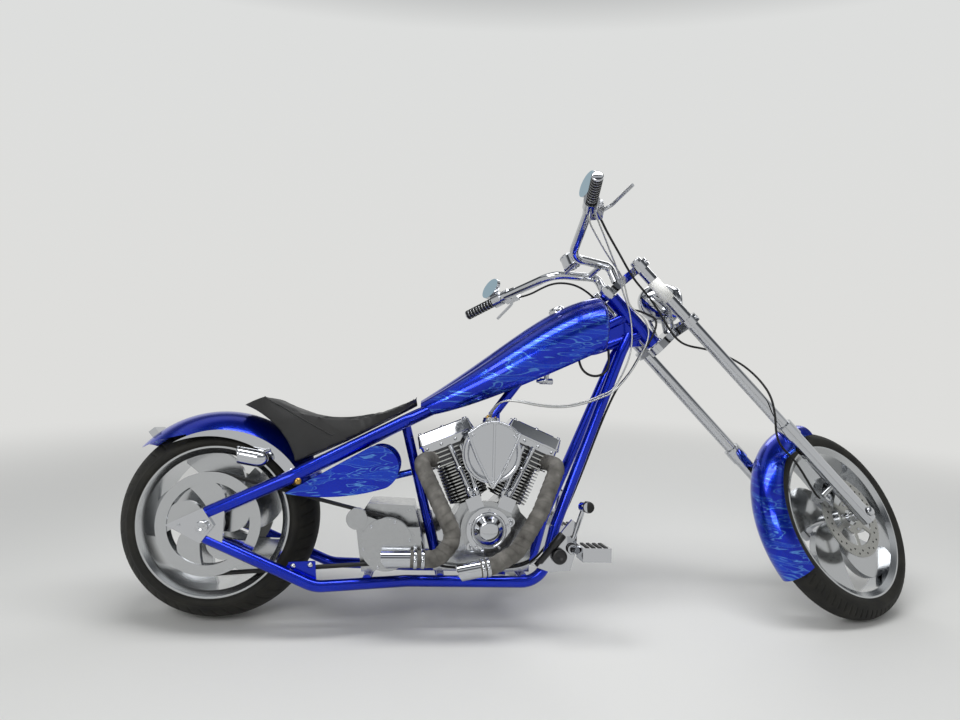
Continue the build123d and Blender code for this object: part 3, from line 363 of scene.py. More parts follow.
CHROME = chrome_plate()
LACQUER = candy_lacquer("candy_blue_lacquer")
TANK_LACQUER = candy_lacquer("flamed_tank_lacquer", (26, 230, 38))
COVER_LACQUER = candy_lacquer("flamed_oil_tank_lacquer", (30, 150, 32))
REAR_LACQUER = candy_lacquer("flamed_rear_fender_lacquer", (-12, 190, 38))
FRONT_LACQUER = candy_lacquer("flamed_front_fender_lacquer", (64, 170, 32))
CASTING = polished_aluminium()
RUBBER = black_rubber()
LEATHER = seat_leather()
WRAP = heat_wrap()
TYRE = tyre_rubber()
MIRROR = mirror_glass()
ENAMEL = plain_finish("satin_black_enamel", "#0e0e10", 0.34)
BRAID = steel_braid()
BRASS = plain_finish("cast_brass", "#b08d4a", 0.3, 1.0)
AMBER = lens("amber_lens", "#d97a10")
RED = lens("red_lens", "#a30c0c")
CLEAR = lens("clear_lamp_lens", "#c9ced2")
LABEL = plain_finish("blank_white_wrap", "#e9e9e6", 0.6, 0.0, 3.0, 0.02)
# Flat black: soot inside the exhaust tips, and painted shade for the dark depth of the tips' bores and the
# front disc's holes
SOOT_AND_SHADE = plain_finish("soot_and_painted_shade_black", "#0b0a0a", 0.9, 0.0, 3.0, 0.1)
DIAL = plain_finish("black_dial", "#101214", 0.35)
POINTER = plain_finish("pale_dial_marks", "#e6e6df", 0.4)

FINISHES = [
    (LACQUER, "frame_backbone frame_down_tubes frame_lower_rails frame_stays frame_crossmembers"),
    (COVER_LACQUER, "oil_tank"),
    (TANK_LACQUER, "fuel_tank"),
    (REAR_LACQUER, "rear_fender"),
    (FRONT_LACQUER, "front_fender"),
    (CHROME, "axle_plates rear_axle rocker_boxes pushrod_tubes cam_cover air_cleaner exhaust_tips"),
    (CHROME, "primary_cover fender_struts forward_controls fork_clamps fork_tubes fork_sliders"),
    (CHROME, "headlight handlebar rear_lights hand_controls side_stand mirrors"),
    (CASTING, "transmission_cover crankcase transmission carburettor front_caliper rear_caliper"),
    (turned_aluminium("turned_billet_front_wheel", front_hub, fork_left), "front_rim"),
    (turned_aluminium("turned_billet_rear_wheel", rear_hub, machine_left), "rear_rim rear_pulley"),
    (brushed_steel("ground_steel_front_disc", front_hub, fork_left), "front_rotor"),
    (brushed_steel("ground_steel_rear_disc", rear_hub, machine_left), "rear_rotor"),
    (black_fins("enamelled_front_cylinder", 1), "cylinder_front"),
    (black_fins("enamelled_rear_cylinder", -1), "cylinder_rear"),
    (WRAP, "exhaust_pipe_front exhaust_pipe_rear"),
    (TYRE, "front_tyre rear_tyre"),
    (RUBBER, "drive_belt grips"),
    (LEATHER, "seat"),
]
finish_of = {name: material for material, names in FINISHES for name in names.split()}
for name, thing in nodes.items():
    thing.data.materials.clear()
    thing.data.materials.append(finish_of[name])


# Shapes

def piece(name, points, faces, material, body, smooth=True):
    """A mesh given in the row frame that rides on a body."""
    mesh = bpy.data.meshes.new(name)
    mesh.from_pydata([tuple(point) for point in points], [], faces)
    mesh.materials.append(material)
    for face in mesh.polygons:
        face.use_smooth = smooth
    mesh.update()
    made = bpy.data.objects.new(name, mesh)
    scene.collection.objects.link(made)
    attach(made, body)
    return made


def woven(rows, closed_along=False, closed_round=True):
    """Points and faces of a skin over rows of points, closed round each row and along them."""
    count = len(rows[0])
    points = [point for row in rows for point in row]
    faces = []
    for i in range(len(rows) if closed_along else len(rows) - 1):
        for j in range(count if closed_round else count - 1):
            k = (j + 1) % count
            n = (i + 1) % len(rows)
            faces.append((i * count + j, i * count + k, n * count + k, n * count + j))
    return points, faces


def rounded_route(points, bends, step):
    """Points about step apart along straight runs whose corners are arcs of the given radii."""
    corners = [Vector(point) for point in points]
    route = [corners[0]]
    for before, corner, after, radius in zip(corners, corners[1:], corners[2:], bends):
        back = (before - corner).normalized()
        ahead = (after - corner).normalized()
        half = back.angle(ahead) / 2
        reach = radius / math.tan(half)
        middle = corner + (back + ahead).normalized() * (radius / math.sin(half))
        start = corner + back * reach - middle
        turn = math.pi - 2 * half
        spin = start.cross(corner + ahead * reach - middle).normalized()
        count = max(3, round(radius * turn / step))
        for index in range(count + 1):
            route.append(middle + Matrix.Rotation(turn * index / count, 3, spin) @ start)
    route.append(corners[-1])
    even = [route[0]]
    for start, end in zip(route, route[1:]):
        reach = (end - start).length
        count = max(1, round(reach / step))
        even += [start.lerp(end, (index + 1) / count) for index in range(count) if reach > 1e-6]
    return even


def ring_frames(route):
    """At each point of a route, two directions across it that never twist."""
    frames = []
    side = None
    for index, point in enumerate(route):
        way = (route[min(index + 1, len(route) - 1)] - route[max(index - 1, 0)]).normalized()
        if side is None:
            side = way.orthogonal()
        side = (side - way * side.dot(way)).normalized()
        frames.append((point, side, way.cross(side)))
    return frames


def turned_part(name, spots, profile, sides, material=CHROME, body="chassis", place=None):
    """One mesh of turned parts: each spot is where it stands and the way it points, in its body's frame
    or another. The profile's rows are radius and height above the spot, from the outside in."""
    points = []
    faces = []
    for spot, way in spots:
        way = Vector(way).normalized()
        side = way.orthogonal().normalized()
        across = way.cross(side)
        rows = []
        for radius, height in profile:
            row = []
            for index in range(sides):
                angle = 2 * math.pi * index / sides
                out = (side * math.cos(angle) + across * math.sin(angle)) * max(radius, 0.01)
                row.append(on(place or PLACES[body], *(Vector(spot) + way * height + out)))
            rows.append(row)
        new_points, new_faces = woven(rows)
        first = len(points)
        points += new_points
        faces += [tuple(first + index for index in face) for face in new_faces]
    return piece(name, points, faces, material, body)


def socket_screw(radius, height):
    """The profile of a socket head: a chamfered rim round a recess."""
    return [
        (radius, 0), (radius, height * 0.8), (radius * 0.86, height), (radius * 0.55, height),
        (radius * 0.5, height * 0.45), (0, height * 0.45),
    ]


def dome(radius, height):
    """The profile of a domed cap."""
    turns = (0.3, 0.65, 1.0, 1.3, 1.57)
    curve = [(radius * math.cos(turn), height * (0.3 + 0.7 * math.sin(turn))) for turn in turns]
    return [(radius, 0), (radius, height * 0.3)] + curve


def spots_round(centre, radius, turns, side=-1):
    """Spots on a circle in a plate that faces one side of the machine."""
    x, y, z = centre
    return [((x + radius * math.cos(turn), y, z + radius * math.sin(turn)), (0, side, 0)) for turn in turns]


def tube(name, route, radius, sides, material, body="chassis"):
    """A round tube along a route given in its body's frame."""
    turns = [2 * math.pi * index / sides for index in range(sides)]
    rows = []
    for point, side, across in ring_frames(route):
        ring = [point + (side * math.cos(turn) + across * math.sin(turn)) * radius for turn in turns]
        rows.append([on(PLACES[body], *at) for at in ring])
    piece(name, *woven(rows), material, body)


def given_faces(name, material, chosen):
    """Gives a CAD node's faces that pass a test another finish."""
    mesh = nodes[name].data
    turn = nodes[name].matrix_world
    mesh.materials.append(material)
    for face in mesh.polygons:
        if chosen(turn @ face.center, turn.to_3x3() @ face.normal):
            face.material_index = len(mesh.materials) - 1


# Tyres

# For each tread: the pitch of its blocks, where its grooves start across the crown, their width,
# and the steps round the tyre
TREADS = {"front": (28.0, 0.42, 4.6, 720), "rear": (44.0, 0.5, 5.4, 600)}
GROOVE_DEPTH = 4.2
GROOVE_END = 0.97


def tread_cut(kind, angle, across, radius):
    """How deep the tread is cut at a point, in millimetres."""
    pitch, start, width, _ = TREADS[kind]
    blocks = round(2 * math.pi * radius / pitch)
    side = abs(across)
    if side < start or side > GROOVE_END:
        return 0.0
    skew = 0.5 if across > 0 else 0.0
    phase = (angle / (2 * math.pi) * blocks + skew + (side - start) * 1.15) % 1.0
    gap = min(phase, 1 - phase) * pitch
    edge = min(1.0, (side - start) / 0.05, (GROOVE_END - side) / 0.05)
    return GROOVE_DEPTH * edge * max(0.0, min(1.0, (width / 2 + 0.9 - gap) / 1.4))


def treaded_tyre(kind, radius, half_width, crown, lip, rim_half_width):
    """A tyre with a round crown, shoulder grooves, a ribbed sidewall and beads on the rim."""
    shoulder_y = half_width * 0.9
    wall_middle = (shoulder_y + rim_half_width) / 2
    top = math.asin(shoulder_y / crown)
    crown_points = []
    for index in range(41):
        turn = -top + 2 * top * index / 40
        crown_points.append((radius - crown + crown * math.cos(turn), crown * math.sin(turn)))
    wall = []
    shoulder_r = crown_points[-1][0]
    for index in range(1, 15):
        t = index / 14
        swell = math.sin(t * math.pi)
        r = shoulder_r + (lip + 1 - shoulder_r) * t
        y = shoulder_y + (rim_half_width - shoulder_y) * t + swell * (half_width - wall_middle)
        ridge = 0.9 if index in (3, 11) else 0.0
        wall.append((r, min(y + ridge, half_width + 0.9)))
    bead = [(lip - 9, rim_half_width - 5)]
    section = [(r, -y) for r, y in reversed(wall + bead)] + crown_points + wall + bead
    steps = TREADS[kind][3]
    body = kind + "_wheel"
    rows = []
    for index in range(steps):
        angle = 2 * math.pi * index / steps
        row = []
        for r, y in section:
            if r > shoulder_r - 1:
                r -= tread_cut(kind, angle, y / shoulder_y, radius)
            row.append(on(PLACES[body], r * math.cos(angle), y, r * math.sin(angle)))
        rows.append(row)
    made = piece(kind + "_tyre_tread", *woven(rows, closed_along=True, closed_round=False), TYRE, body)
    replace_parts(made, kind + "_tyre")


treaded_tyre("rear", REAR_TYRE_RADIUS, 124, 150, 246, 118)
treaded_tyre("front", FRONT_TYRE_RADIUS, 58, 60, 283, 50)


# Tank nose

def arc_through(first, middle, last, count):
    """Points on the circle through three points of a plane, without the last of them."""
    (ax, ay), (bx, by), (cx, cy) = first, middle, last
    twice = 2 * (ax * (by - cy) + bx * (cy - ay) + cx * (ay - by))
    aa, bb, cc = ax * ax + ay * ay, bx * bx + by * by, cx * cx + cy * cy
    ux = (aa * (by - cy) + bb * (cy - ay) + cc * (ay - by)) / twice
    uy = (aa * (cx - bx) + bb * (ax - cx) + cc * (bx - ax)) / twice
    start = math.atan2(ay - uy, ax - ux)
    half = (math.atan2(by - uy, bx - ux) - start + math.pi) % (2 * math.pi) - math.pi
    rest = (math.atan2(cy - uy, cx - ux) - start - half + math.pi) % (2 * math.pi) - math.pi
    radius = math.hypot(ax - ux, ay - uy)
    turns = [start + (half + rest) * index / count for index in range(count)]
    return [(ux + radius * math.cos(turn), uy + radius * math.sin(turn)) for turn in turns]


TANK_FRONT = 1300
TANK_MIDDLE = 1043
TANK_FLOOR = 944


def tank_nose():
    """The tank's front end, rolled in towards the backbone."""
    section = arc_through((88, TANK_FLOOR), (124, 1041.9), (58, 1123.5), 14)
    section += arc_through((58, 1123.5), (0, 1148), (-58, 1123.5), 12)
    section += arc_through((-58, 1123.5), (-124, 1041.9), (-88, TANK_FLOOR), 14)
    section += [(-88 + 176 * index / 12, TANK_FLOOR) for index in range(12)]
    roll = [
        (-1, 1.0), (3, 1.0), (9, 0.985), (15, 0.95), (20, 0.9), (23.5, 0.83), (26, 0.72), (27, 0.5),
        (27, 0.25),
    ]
    rows = []
    for ahead, scale in roll:
        x = TANK_FRONT + ahead
        rows.append([on(machine, x, y * scale, TANK_MIDDLE + (z - TANK_MIDDLE) * scale) for y, z in section])
    piece("tank_nose", *woven(rows), TANK_LACQUER, "chassis")


tank_nose()


# Exhaust wrap

PIPE_RADIUS = 26
TAPE_WIDTH = 26
BAND_RADIUS = 30
REAR_PIPE = [
    (716, -54, 545), (668, -112, 540), (742, -204, 396), (792, -222, 300), (735, -232, 238), (648, -236, 238),
]
FRONT_PIPE = [
    (1104, -54, 545), (1144, -112, 536), (1070, -204, 388), (992, -222, 262), (915, -233, 219),
    (872, -236, 211),
]


def wrapped_pipe(name, points, bends):
    """Tape wound round a pipe in a spiral, each turn lapped over the last."""
    route = rounded_route(points, bends, 2.4)
    rows = []
    run = 0.0
    for index, (point, side, across) in enumerate(ring_frames(route)):
        if index:
            run += (point - route[index - 1]).length
        row = []
        for j in range(40):
            angle = 2 * math.pi * j / 40
            lap = (run / TAPE_WIDTH - j / 40 + 0.05 * noise.noise(point * 0.03)) % 1.0
            rough = 0.35 * noise.noise(Vector((run * 0.11, angle * 2.1, PIPE_RADIUS)))
            reach = PIPE_RADIUS + 0.5 + 1.9 * lap + rough
            at = point + side * math.cos(angle) * reach + across * math.sin(angle) * reach
            row.append(on(machine, *at))
        rows.append(row)
    piece(name, *woven(rows), WRAP, "chassis")


wrapped_pipe("rear_pipe_wrap", REAR_PIPE, [40, 90, 60, 50])
wrapped_pipe("front_pipe_wrap", FRONT_PIPE, [36, 90, 80, 40])


# Seat

def applied(thing, kind, **settings):
    """Adds a modifier to a thing and applies it at once."""
    made = thing.modifiers.new(kind.lower(), kind)
    for key, value in settings.items():
        setattr(made, key, value)
    bpy.context.view_layer.objects.active = thing
    bpy.ops.object.modifier_apply(modifier=made.name)


def stuffed_seat():
    """The padded seat: leather over foam, which fills out between its seams."""
    mesh = nodes["seat"].data.copy()
    mesh.transform(nodes["seat"].matrix_world)
    cushion = bpy.data.objects.new("seat_cushion", mesh)
    scene.collection.objects.link(cushion)
    applied(cushion, "REMESH", mode="VOXEL", voxel_size=0.0055)
    mesh = cushion.data
    rest = []
    for vertex in mesh.vertices:
        vertex.co -= vertex.normal * 0.004
        rest.append(vertex.co.copy())
    held = cushion.vertex_groups.new(name="held")
    for vertex in mesh.vertices:
        upward = vertex.normal.dot(machine_up)
        held.add([vertex.index], 1.0 if upward < -0.2 else 0.0, "REPLACE")
    cloth = cushion.modifiers.new("leather", "CLOTH")
    cloth.settings.use_pressure = True
    cloth.settings.uniform_pressure_force = 4.0
    cloth.settings.vertex_group_mass = "held"
    cloth.settings.effector_weights.gravity = 0.0
    cloth.settings.tension_stiffness = 12
    cloth.settings.quality = 5
    cloth.point_cache.frame_start = 1
    cloth.point_cache.frame_end = 20
    for index in range(1, 21):
        scene.frame_set(index)
    shaped = cushion.evaluated_get(bpy.context.evaluated_depsgraph_get()).data
    moved = [vertex.co.copy() for vertex in shaped.vertices]
    cushion.modifiers.remove(cloth)
    for vertex, start, end in zip(mesh.vertices, rest, moved):
        shift = end - start
        vertex.co = start + shift * min(1.0, 0.009 / max(shift.length, 1e-9))
    scene.frame_set(1)
    applied(cushion, "SMOOTH", factor=0.5, iterations=3)
    applied(cushion, "SUBSURF", levels=1)
    cushion.data.materials.clear()
    cushion.data.materials.append(LEATHER)
    for face in cushion.data.polygons:
        face.use_smooth = True
    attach(cushion, "chassis")
    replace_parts(cushion, "seat")
    return cushion


seat_cushion = stuffed_seat()


# Cables and hoses

NECK_FOOT = Vector((1516.88, 0, 985.60))
TOP_CLAMP = 1192


def from_top_clamp(rows, place=fork):
    """Route points on the front end: above the top clamp's underside, ahead of the steering axis, left."""
    return [on(place, ahead, left, TOP_CLAMP + above) for above, ahead, left in rows]


def from_neck_foot(rows):
    """Route points on the frame: ahead of the neck's foot, left, above it."""
    return [on(machine, *(NECK_FOOT + Vector(row))) for row in rows]


def carried_on(route, reach):
    """One more point that goes straight on from a route's end, by a reach in millimetres."""
    return [route[-1] + (route[-1] - route[-2]).normalized() * reach * MM]


def line_of(name, points, radius=0.0):
    """A smooth curve that a route's points steer, with a round section if it has a radius."""
    data = bpy.data.curves.new(name, "CURVE")
    data.dimensions = "3D"
    data.resolution_u = 10
    data.bevel_depth = radius * MM
    data.bevel_resolution = 3
    data.use_fill_caps = True
    spline = data.splines.new("NURBS")
    spline.points.add(len(points) - 1)
    for control, point in zip(spline.points, points):
        control.co = (*point, 1.0)
    spline.order_u = 3
    spline.use_endpoint_u = True
    made = bpy.data.objects.new(name, data)
    scene.collection.objects.link(made)
    return made


def mesh_of(line):
    """A curve's mesh, with the curve taken away."""
    mesh = bpy.data.meshes.new_from_object(line)
    bpy.data.objects.remove(line)
    return mesh


def read_line(name, points):
    """The points along a route's smooth curve, and how far they run."""
    mesh = mesh_of(line_of(name + "_line", points))
    route = [vertex.co.copy() for vertex in mesh.vertices]
    bpy.data.meshes.remove(mesh)
    return route, sum((end - start).length for start, end in zip(route, route[1:]))


def steered_cable(name, points, radius, material):
    """A cable from the frame to the bars, made as a mesh in the row frame on no body."""
    route, run = read_line(name, points)
    mesh = mesh_of(line_of(name + "_curve", points, radius))
    mesh.materials.clear()
    mesh.materials.append(material)
    for face in mesh.polygons:
        face.use_smooth = True
    made = bpy.data.objects.new(name, mesh)
    scene.collection.objects.link(made)
    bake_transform(made)


def fixed_cable(name, points, radius, body):
    """A rubber hose or loom that keeps to one body."""
    route, run = read_line(name, points)
    made = line_of(name, points, radius)
    made.data.materials.append(RUBBER)
    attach(made, body)


THROTTLE_TOPS = [
    [(258, -138, -302), (232, -144, -292), (184, -105, -242), (136, -72, -194), (86, -38, -146),
     (40, -8, -100), (2, -8, -72), (-34, -17, -60)],
    [(266, -156, -298), (250, -180, -290), (206, -141, -246), (160, -103, -204), (114, -62, -162),
     (70, -18, -122), (28, 16, -88), (-24, -3, -68)],
]
THROTTLE_NECKS = [
    [(-96, -54, 26), (-102, -54, -46), (-128, -58, -112)],
    [(-58, -68, 88), (-38, -68, 40), (-46, -66, -8), (-74, -66, -62), (-112, -68, -124)],
]
THROTTLE_INLETS = [Vector((905, -96, 704)), Vector((897, -106, 702))]
# The share of the way from the clip on the frame to the carburettor, then how far out and up
SWEEP = [
    (0.116, 22, -10), (0.25, 41, -21), (0.433, 63, -22), (0.626, 71, -1), (0.807, 58, 33), (0.927, 34, 41),
]
for index, name in enumerate(("throttle_cable", "idle_cable")):
    route = from_top_clamp(THROTTLE_TOPS[index])
    route += carried_on(route, 52) + from_neck_foot(THROTTLE_NECKS[index])
    clip = NECK_FOOT + Vector((-170, -73 - 4 * index, -180 - 9 * index))
    inlet = THROTTLE_INLETS[index]
    route.append(on(machine, *clip))
    route += [on(machine, *(clip.lerp(inlet, share) + Vector((0, -out, up)))) for share, out, up in SWEEP]
    route.append(on(machine, *inlet))
    route.append(on(machine, *(inlet + Vector((2, 2, -18)))))
    steered_cable(name, route, 3, BRAID)

route = from_top_clamp([
    (250, -94, 285), (238, -78, 286), (214, -50, 248), (202, -30, 202), (188, -24, 156), (165, -24, 112),
    (126, -8, 84), (76, 12, 78), (26, 20, 80), (-22, 38, 68), (-68, 58, 38), (-108, 62, -4), (-140, 44, -38),
])
route += carried_on(route, 34)
route += from_top_clamp([(-180, 42, -60), (-196, 10, -68), (-212, -26, -60)], straight_fork)
route += from_neck_foot([(-68, -44, -53), (-104, -46, -118)])
DOWN_FOOT = Vector((1135, -114, 330))
DOWN_HEAD = NECK_FOOT + Vector((-134, -42, -42))
for z, ahead, left in ((800, 25, 4), (420, 25, 8), (345, 16, 26)):
    beside = DOWN_FOOT.lerp(DOWN_HEAD, (z - DOWN_FOOT.z) / (DOWN_HEAD.z - DOWN_FOOT.z))
    route.append(on(machine, *(beside + Vector((ahead, left, 0)))))
route += [on(machine, *point) for point in (
    (1114, -92, 262), (1050, -102, 198), (950, -106, 186), (768, -112, 188), (724, -150, 212),
    (692, -184, 252), (676, -188, 266),
)]
steered_cable("clutch_cable", route, 4, RUBBER)

fixed_cable("brake_hose", from_top_clamp([
    (252, -98, -274), (236, -84, -262), (184, -66, -230), (132, -36, -194), (86, -4, -158), (42, 22, -126),
    (-8, 26, -112), (-64, 42, -98), (-122, 52, -86), (-180, 46, -78), (-230, 28, -76), (-284, 30, -72),
    (-326, 66, -62), (-374, 100, -82), (-425, 130, -98), (-478, 152, -108), (-530, 156, -124),
    (-592, 132, -148), (-650, 94, -164), (-704, 44, -156), (-754, 14, -128), (-808, 20, -102),
    (-866, 34, -97), (-925, 26, -95), (-985, 4, -94), (-1032, -2, -90), (-1048, 16, -84),
]), 4, "fork")

fixed_cable("ribbed_loom", [on(machine, 2237 + ahead, left, 350 + up) for ahead, left, up in (
    (-1022, -62, 592), (-1014, -66, 550), (-1003, -68, 524), (-982, -70, 507), (-956, -70, 502),
    (-931, -66, 509), (-913, -58, 524), (-901, -47, 548), (-896, -30, 571), (-892, -6, 612),
)], 4.5, "chassis")


# Engine details

for side, end in CYLINDERS:
    place = cylinder_place(side)
    tops = [((x, y, 433.8), (0, 0, 1)) for x in (-84, 0, 84) for y in (-52, 52)]
    flanks = [((x, y, 381), (0, y, 0)) for x in (-78, -26, 26, 78) for y in (-65.8, 65.8)]
    nuts = [((x, y, 307), (0, 0, 1)) for x in (-62, 62) for y in (-66, 66)]
    turned_part(end + "_rocker_screws", tops, socket_screw(6, 7), 18, place=place)
    turned_part(end + "_rocker_side_screws", flanks, dome(5.5, 5), 16, place=place)
    turned_part(end + "_head_nuts", nuts, dome(8, 12), 16, place=place)

AIR_CLEANER_X, AIR_CLEANER_Z = 904, 575
CAM_X, CAM_Z = 905, 318
FIVE_ROUND = (0.3, 1.55, 2.8, 4.05, 5.3)
SIX_ROUND = (0.2, 1.25, 2.3, 3.34, 4.39, 5.44)
cover = [
    ((AIR_CLEANER_X + ahead, -245.8, AIR_CLEANER_Z + up), (0, -1, 0))
    for ahead, up in ((-66, 58), (70, 58), (2, -92))
]
turned_part("air_cleaner_screws", cover, socket_screw(6, 5), 18)
cam = spots_round((CAM_X, -149.8, CAM_Z), 66, FIVE_ROUND)
turned_part("cam_cover_screws", cam, socket_screw(5, 4), 16)
ears = [((x, -141.8, z), (0, -1, 0)) for x, z in ((978, 345), (850, 262))]
turned_part("cam_ear_screws", ears, socket_screw(9, 8), 20)
cap = [((908 + 21 * math.cos(a), -92 + 21 * math.sin(a), 693.8), (0, 0, 1)) for a in (0.8, 2.37, 3.94, 5.5)]
turned_part("carburettor_screws", cap, socket_screw(3.2, 4), 14, BRASS)
turned_part("release_cover_screws", spots_round((571, -203.8, 276), 75, SIX_ROUND), socket_screw(4.5, 4), 16)
primary = spots_round((CRANK.x, 213.8, CRANK.z), 56, (-1.3, -0.5, 0.3, 1.1), 1)
primary += spots_round((600, 213.8, 268), 70, (1.7, 2.5, 3.3, 4.1), 1)
turned_part("primary_cover_screws", primary, socket_screw(5, 5), 16)


def slab(name, place, size, corner, low, high, inset):
    """A chrome plate with rounded corners between two heights of a frame, drawn in towards its top."""
    rows = []
    for height, shrink in ((low, 0), (high - inset, 0), (high, inset)):
        row = []
        for sx, sy, start in ((1, 1, 0), (-1, 1, 90), (-1, -1, 180), (1, -1, 270)):
            for step in range(7):
                turn = math.radians(start + 15 * step)
                x = sx * (size[0] / 2 - corner) + (corner - shrink) * math.cos(turn)
                y = sy * (size[1] / 2 - corner) + (corner - shrink) * math.sin(turn)
                row.append(on(place, x, y, height))
        rows.append(row)
    points, faces = woven(rows)
    count = len(rows[0])
    faces.append(tuple(range(2 * count, 3 * count)))
    piece(name, points, faces, CHROME, "chassis", False)


PUSHRODS = ((40, 107), (62, 146))
for side, end in CYLINDERS:
    slab(end + "_rocker_flange", cylinder_place(side), (206, 140), 16, 391, 399, 2)
    slab(end + "_rocker_panel", cylinder_place(side), (146, 82), 12, 433, 438, 3)
    rods = []
    for foot, head in PUSHRODS:
        low = Vector((CRANK.x + side * foot, -112, 424))
        high = Vector((CRANK.x + side * head, -112, 598))
        rods.append((low, high - low))
    turned_part(end + "_pushrod_collars", rods, [(9, 0), (11.5, 1), (11.5, 32), (9, 34)], 20)
    turned_part(end + "_pushrod_rings", rods, [(9, 98), (11.5, 99), (11.5, 111), (9, 112)], 20)

cover_rim = [(92, -3), (93.5, 2), (91, 5), (86, 5.4), (81, 3), (78, 0)]
turned_part("air_cleaner_rim", [((AIR_CLEANER_X, -228, AIR_CLEANER_Z), (0, -1, 0))], cover_rim, 64)
for name, arc in (
    ("right", [(990, 640), (976, 603), (957, 560), (933, 511), (907, 466)]),
    ("left", [(822, 640), (835, 603), (853, 560), (879, 511), (905, 466)]),
    ("middle", [(906, 678), (906, 470)]),
    ("upper", [(824, 640), (866, 671), (906, 679), (946, 671), (988, 640)]),
):
    ribs = [(x, -245.5, z) for x, z in arc]
    ribs = rounded_route(ribs, [120] * (len(arc) - 2), 4)
    tube("air_cleaner_rib_" + name, ribs, 4.5, 12, CHROME)
turned_part("cam_cover_cap", [((CAM_X, -166.8, CAM_Z), (0, -1, 0))], dome(34, 8), 40)
lip = [(60, 0), (59, 3), (55, 4), (52, 1)]
turned_part("cam_cover_lip", [((CAM_X, -149.8, CAM_Z), (0, -1, 0))], lip, 48)
cap = [(29, 0), (29, 13), (27, 14), (27, 20), (25, 22), (0, 22)]
turned_part("carburettor_cap", [((908, -92, 672), (0, 0, 1))], cap, 36, CASTING)
bowl = [(24, 0), (24, 15), (20, 23), (9, 26), (8, 32), (0, 32)]
turned_part("carburettor_bowl", [((908, -86, 578), (0, 0, -1))], bowl, 32, BRASS)
inlets = [((inlet.x, inlet.y, 692), (0, 0, 1)) for inlet in THROTTLE_INLETS]
turned_part("throttle_ferrules", inlets, [(5, 0), (5, 9), (3.4, 11)], 16, BRASS)


def clamp_band(name, points, distances):
    """Polished bands screwed round the end of a wrapped pipe."""
    start, end = Vector(points[-1]), Vector(points[-2])
    way = (start - end).normalized()
    spots = [(start - way * distance, way) for distance in distances]
    inner, outer = BAND_RADIUS - 2.5, BAND_RADIUS + 1
    profile = [(inner, -6), (BAND_RADIUS, -6), (outer, -3), (outer, 3), (BAND_RADIUS, 6), (inner, 6)]
    turned_part(name, spots, profile, 40)
    ears = [(spot + Vector((0, -BAND_RADIUS - 2, -6)), (0, 0, 1)) for spot, _ in spots]
    turned_part(name + "_screws", ears, [(4, 0), (4, 12), (0, 12)], 14)


clamp_band("rear_pipe_clamps", REAR_PIPE, (16, 40))
clamp_band("front_pipe_clamps", FRONT_PIPE, (10, 26))
# Each tip gets a black soot lining, and a black disc 2 mm past the wrap's end that closes its bore: the
# lining is soot, the disc is painted shade for the pipe's dark depth
for name, points, reach in (("rear_tip_soot_and_shade", REAR_PIPE, 52), ("front_tip_soot_and_shade", FRONT_PIPE, 36)):
    way = (Vector(points[-1]) - Vector(points[-2])).normalized()
    turned_part(name, [(points[-1], way)], [(0, 2), (25.2, 2), (25.2, reach)], 32, SOOT_AND_SHADE)


# Lamps, dial and mirrors

HEADLIGHT = [((223.3, 0, 1012.6), (0.7230, 0, -0.6909))]
glass = [(68, 0.3), (64, 4), (54, 8), (38, 11.5), (18, 13.5), (0, 14)]
turned_part("headlight_lens", HEADLIGHT, glass, 48, CLEAR, "fork")
bezel = [(75.9, -5), (77.5, -4), (77.5, 2), (75, 5.5), (71, 6), (67.5, 4), (67, 0)]
turned_part("headlight_bezel", HEADLIGHT, bezel, 64, body="fork")
for side, name in SIDES:
    arm = rounded_route([(92, side * 44, 950), (163.3, side * 58, 1039.5)], [], 4)
    tube(name + "_headlight_arm", arm, 7, 14, CHROME, "fork")

SIGNALS = [((92, side * 202, 550), (-0.9824, side * 0.0687, -0.1736)) for side in (-1, 1)]
NOSES = [((149, side * 198.07, 540.2), (0.983, -side * 0.068, -0.17)) for side in (-1, 1)]
turned_part("signal_lenses", SIGNALS, [(24, 0.2), (23, 3), (15, 5.4), (0, 6.4)], 28, AMBER)
turned_part("signal_rims", SIGNALS, [(27, -6), (28.2, -4), (28.2, 1), (26.5, 3), (24, 2.4)], 36)
turned_part("signal_noses", NOSES, [(27, -1), (26, 9), (22.5, 19), (16, 28), (8, 33), (0, 34.5)], 36)

DIAL_TOP = Vector((-27.5, 0, 1407.2))
DIAL_WAY = Vector((0.495, 0, 0.869))
turned_part("dial_face", [(DIAL_TOP, DIAL_WAY)], [(29, 0.1), (29, 0.7), (0, 0.7)], 40, DIAL, "fork")
bezel = [(31.9, -3), (33.2, -2), (33.2, 3), (31, 4.5), (29, 2.5), (28.6, 0.4)]
turned_part("dial_bezel", [(DIAL_TOP, DIAL_WAY)], bezel, 48, body="fork")


def dial_marks():
    """Plain strokes round the dial, with a pointer."""
    up = DIAL_WAY.normalized()
    side = up.orthogonal().normalized()
    across = up.cross(side)
    centre = DIAL_TOP + up * 1.1
    points, faces = [], []
    strokes = [(2 * math.pi * index / 24 + 0.4, 24, 28.5, 0.5) for index in range(19)] + [(2.2, -5, 23, 0.9)]
    for angle, start, end, half in strokes:
        way = side * math.cos(angle) + across * math.sin(angle)
        wide = up.cross(way) * half
        first = len(points)
        for r, sign in ((start, -1), (end, -1), (end, 1), (start, 1)):
            points.append(on(fork, *(centre + way * r + wide * sign)))
        faces.append((first, first + 1, first + 2, first + 3))
    piece("dial_marks", points, faces, POINTER, "fork", False)


dial_marks()
GLASS_WAYS = [steered.to_3x3() @ Vector((-1, side * 0.12, 0.1)).normalized() for side in (-1, 1)]
TAIL_WAY = machine.to_3x3() @ Vector((-0.766, 0, -0.643))
TAIL_PLACE = on(machine, -232, 0, 610)


def on_glass(_, normal):
    """Whether a face of the mirrors looks back at the rider."""
    return any(normal.normalized().dot(way) > 0.995 for way in GLASS_WAYS)


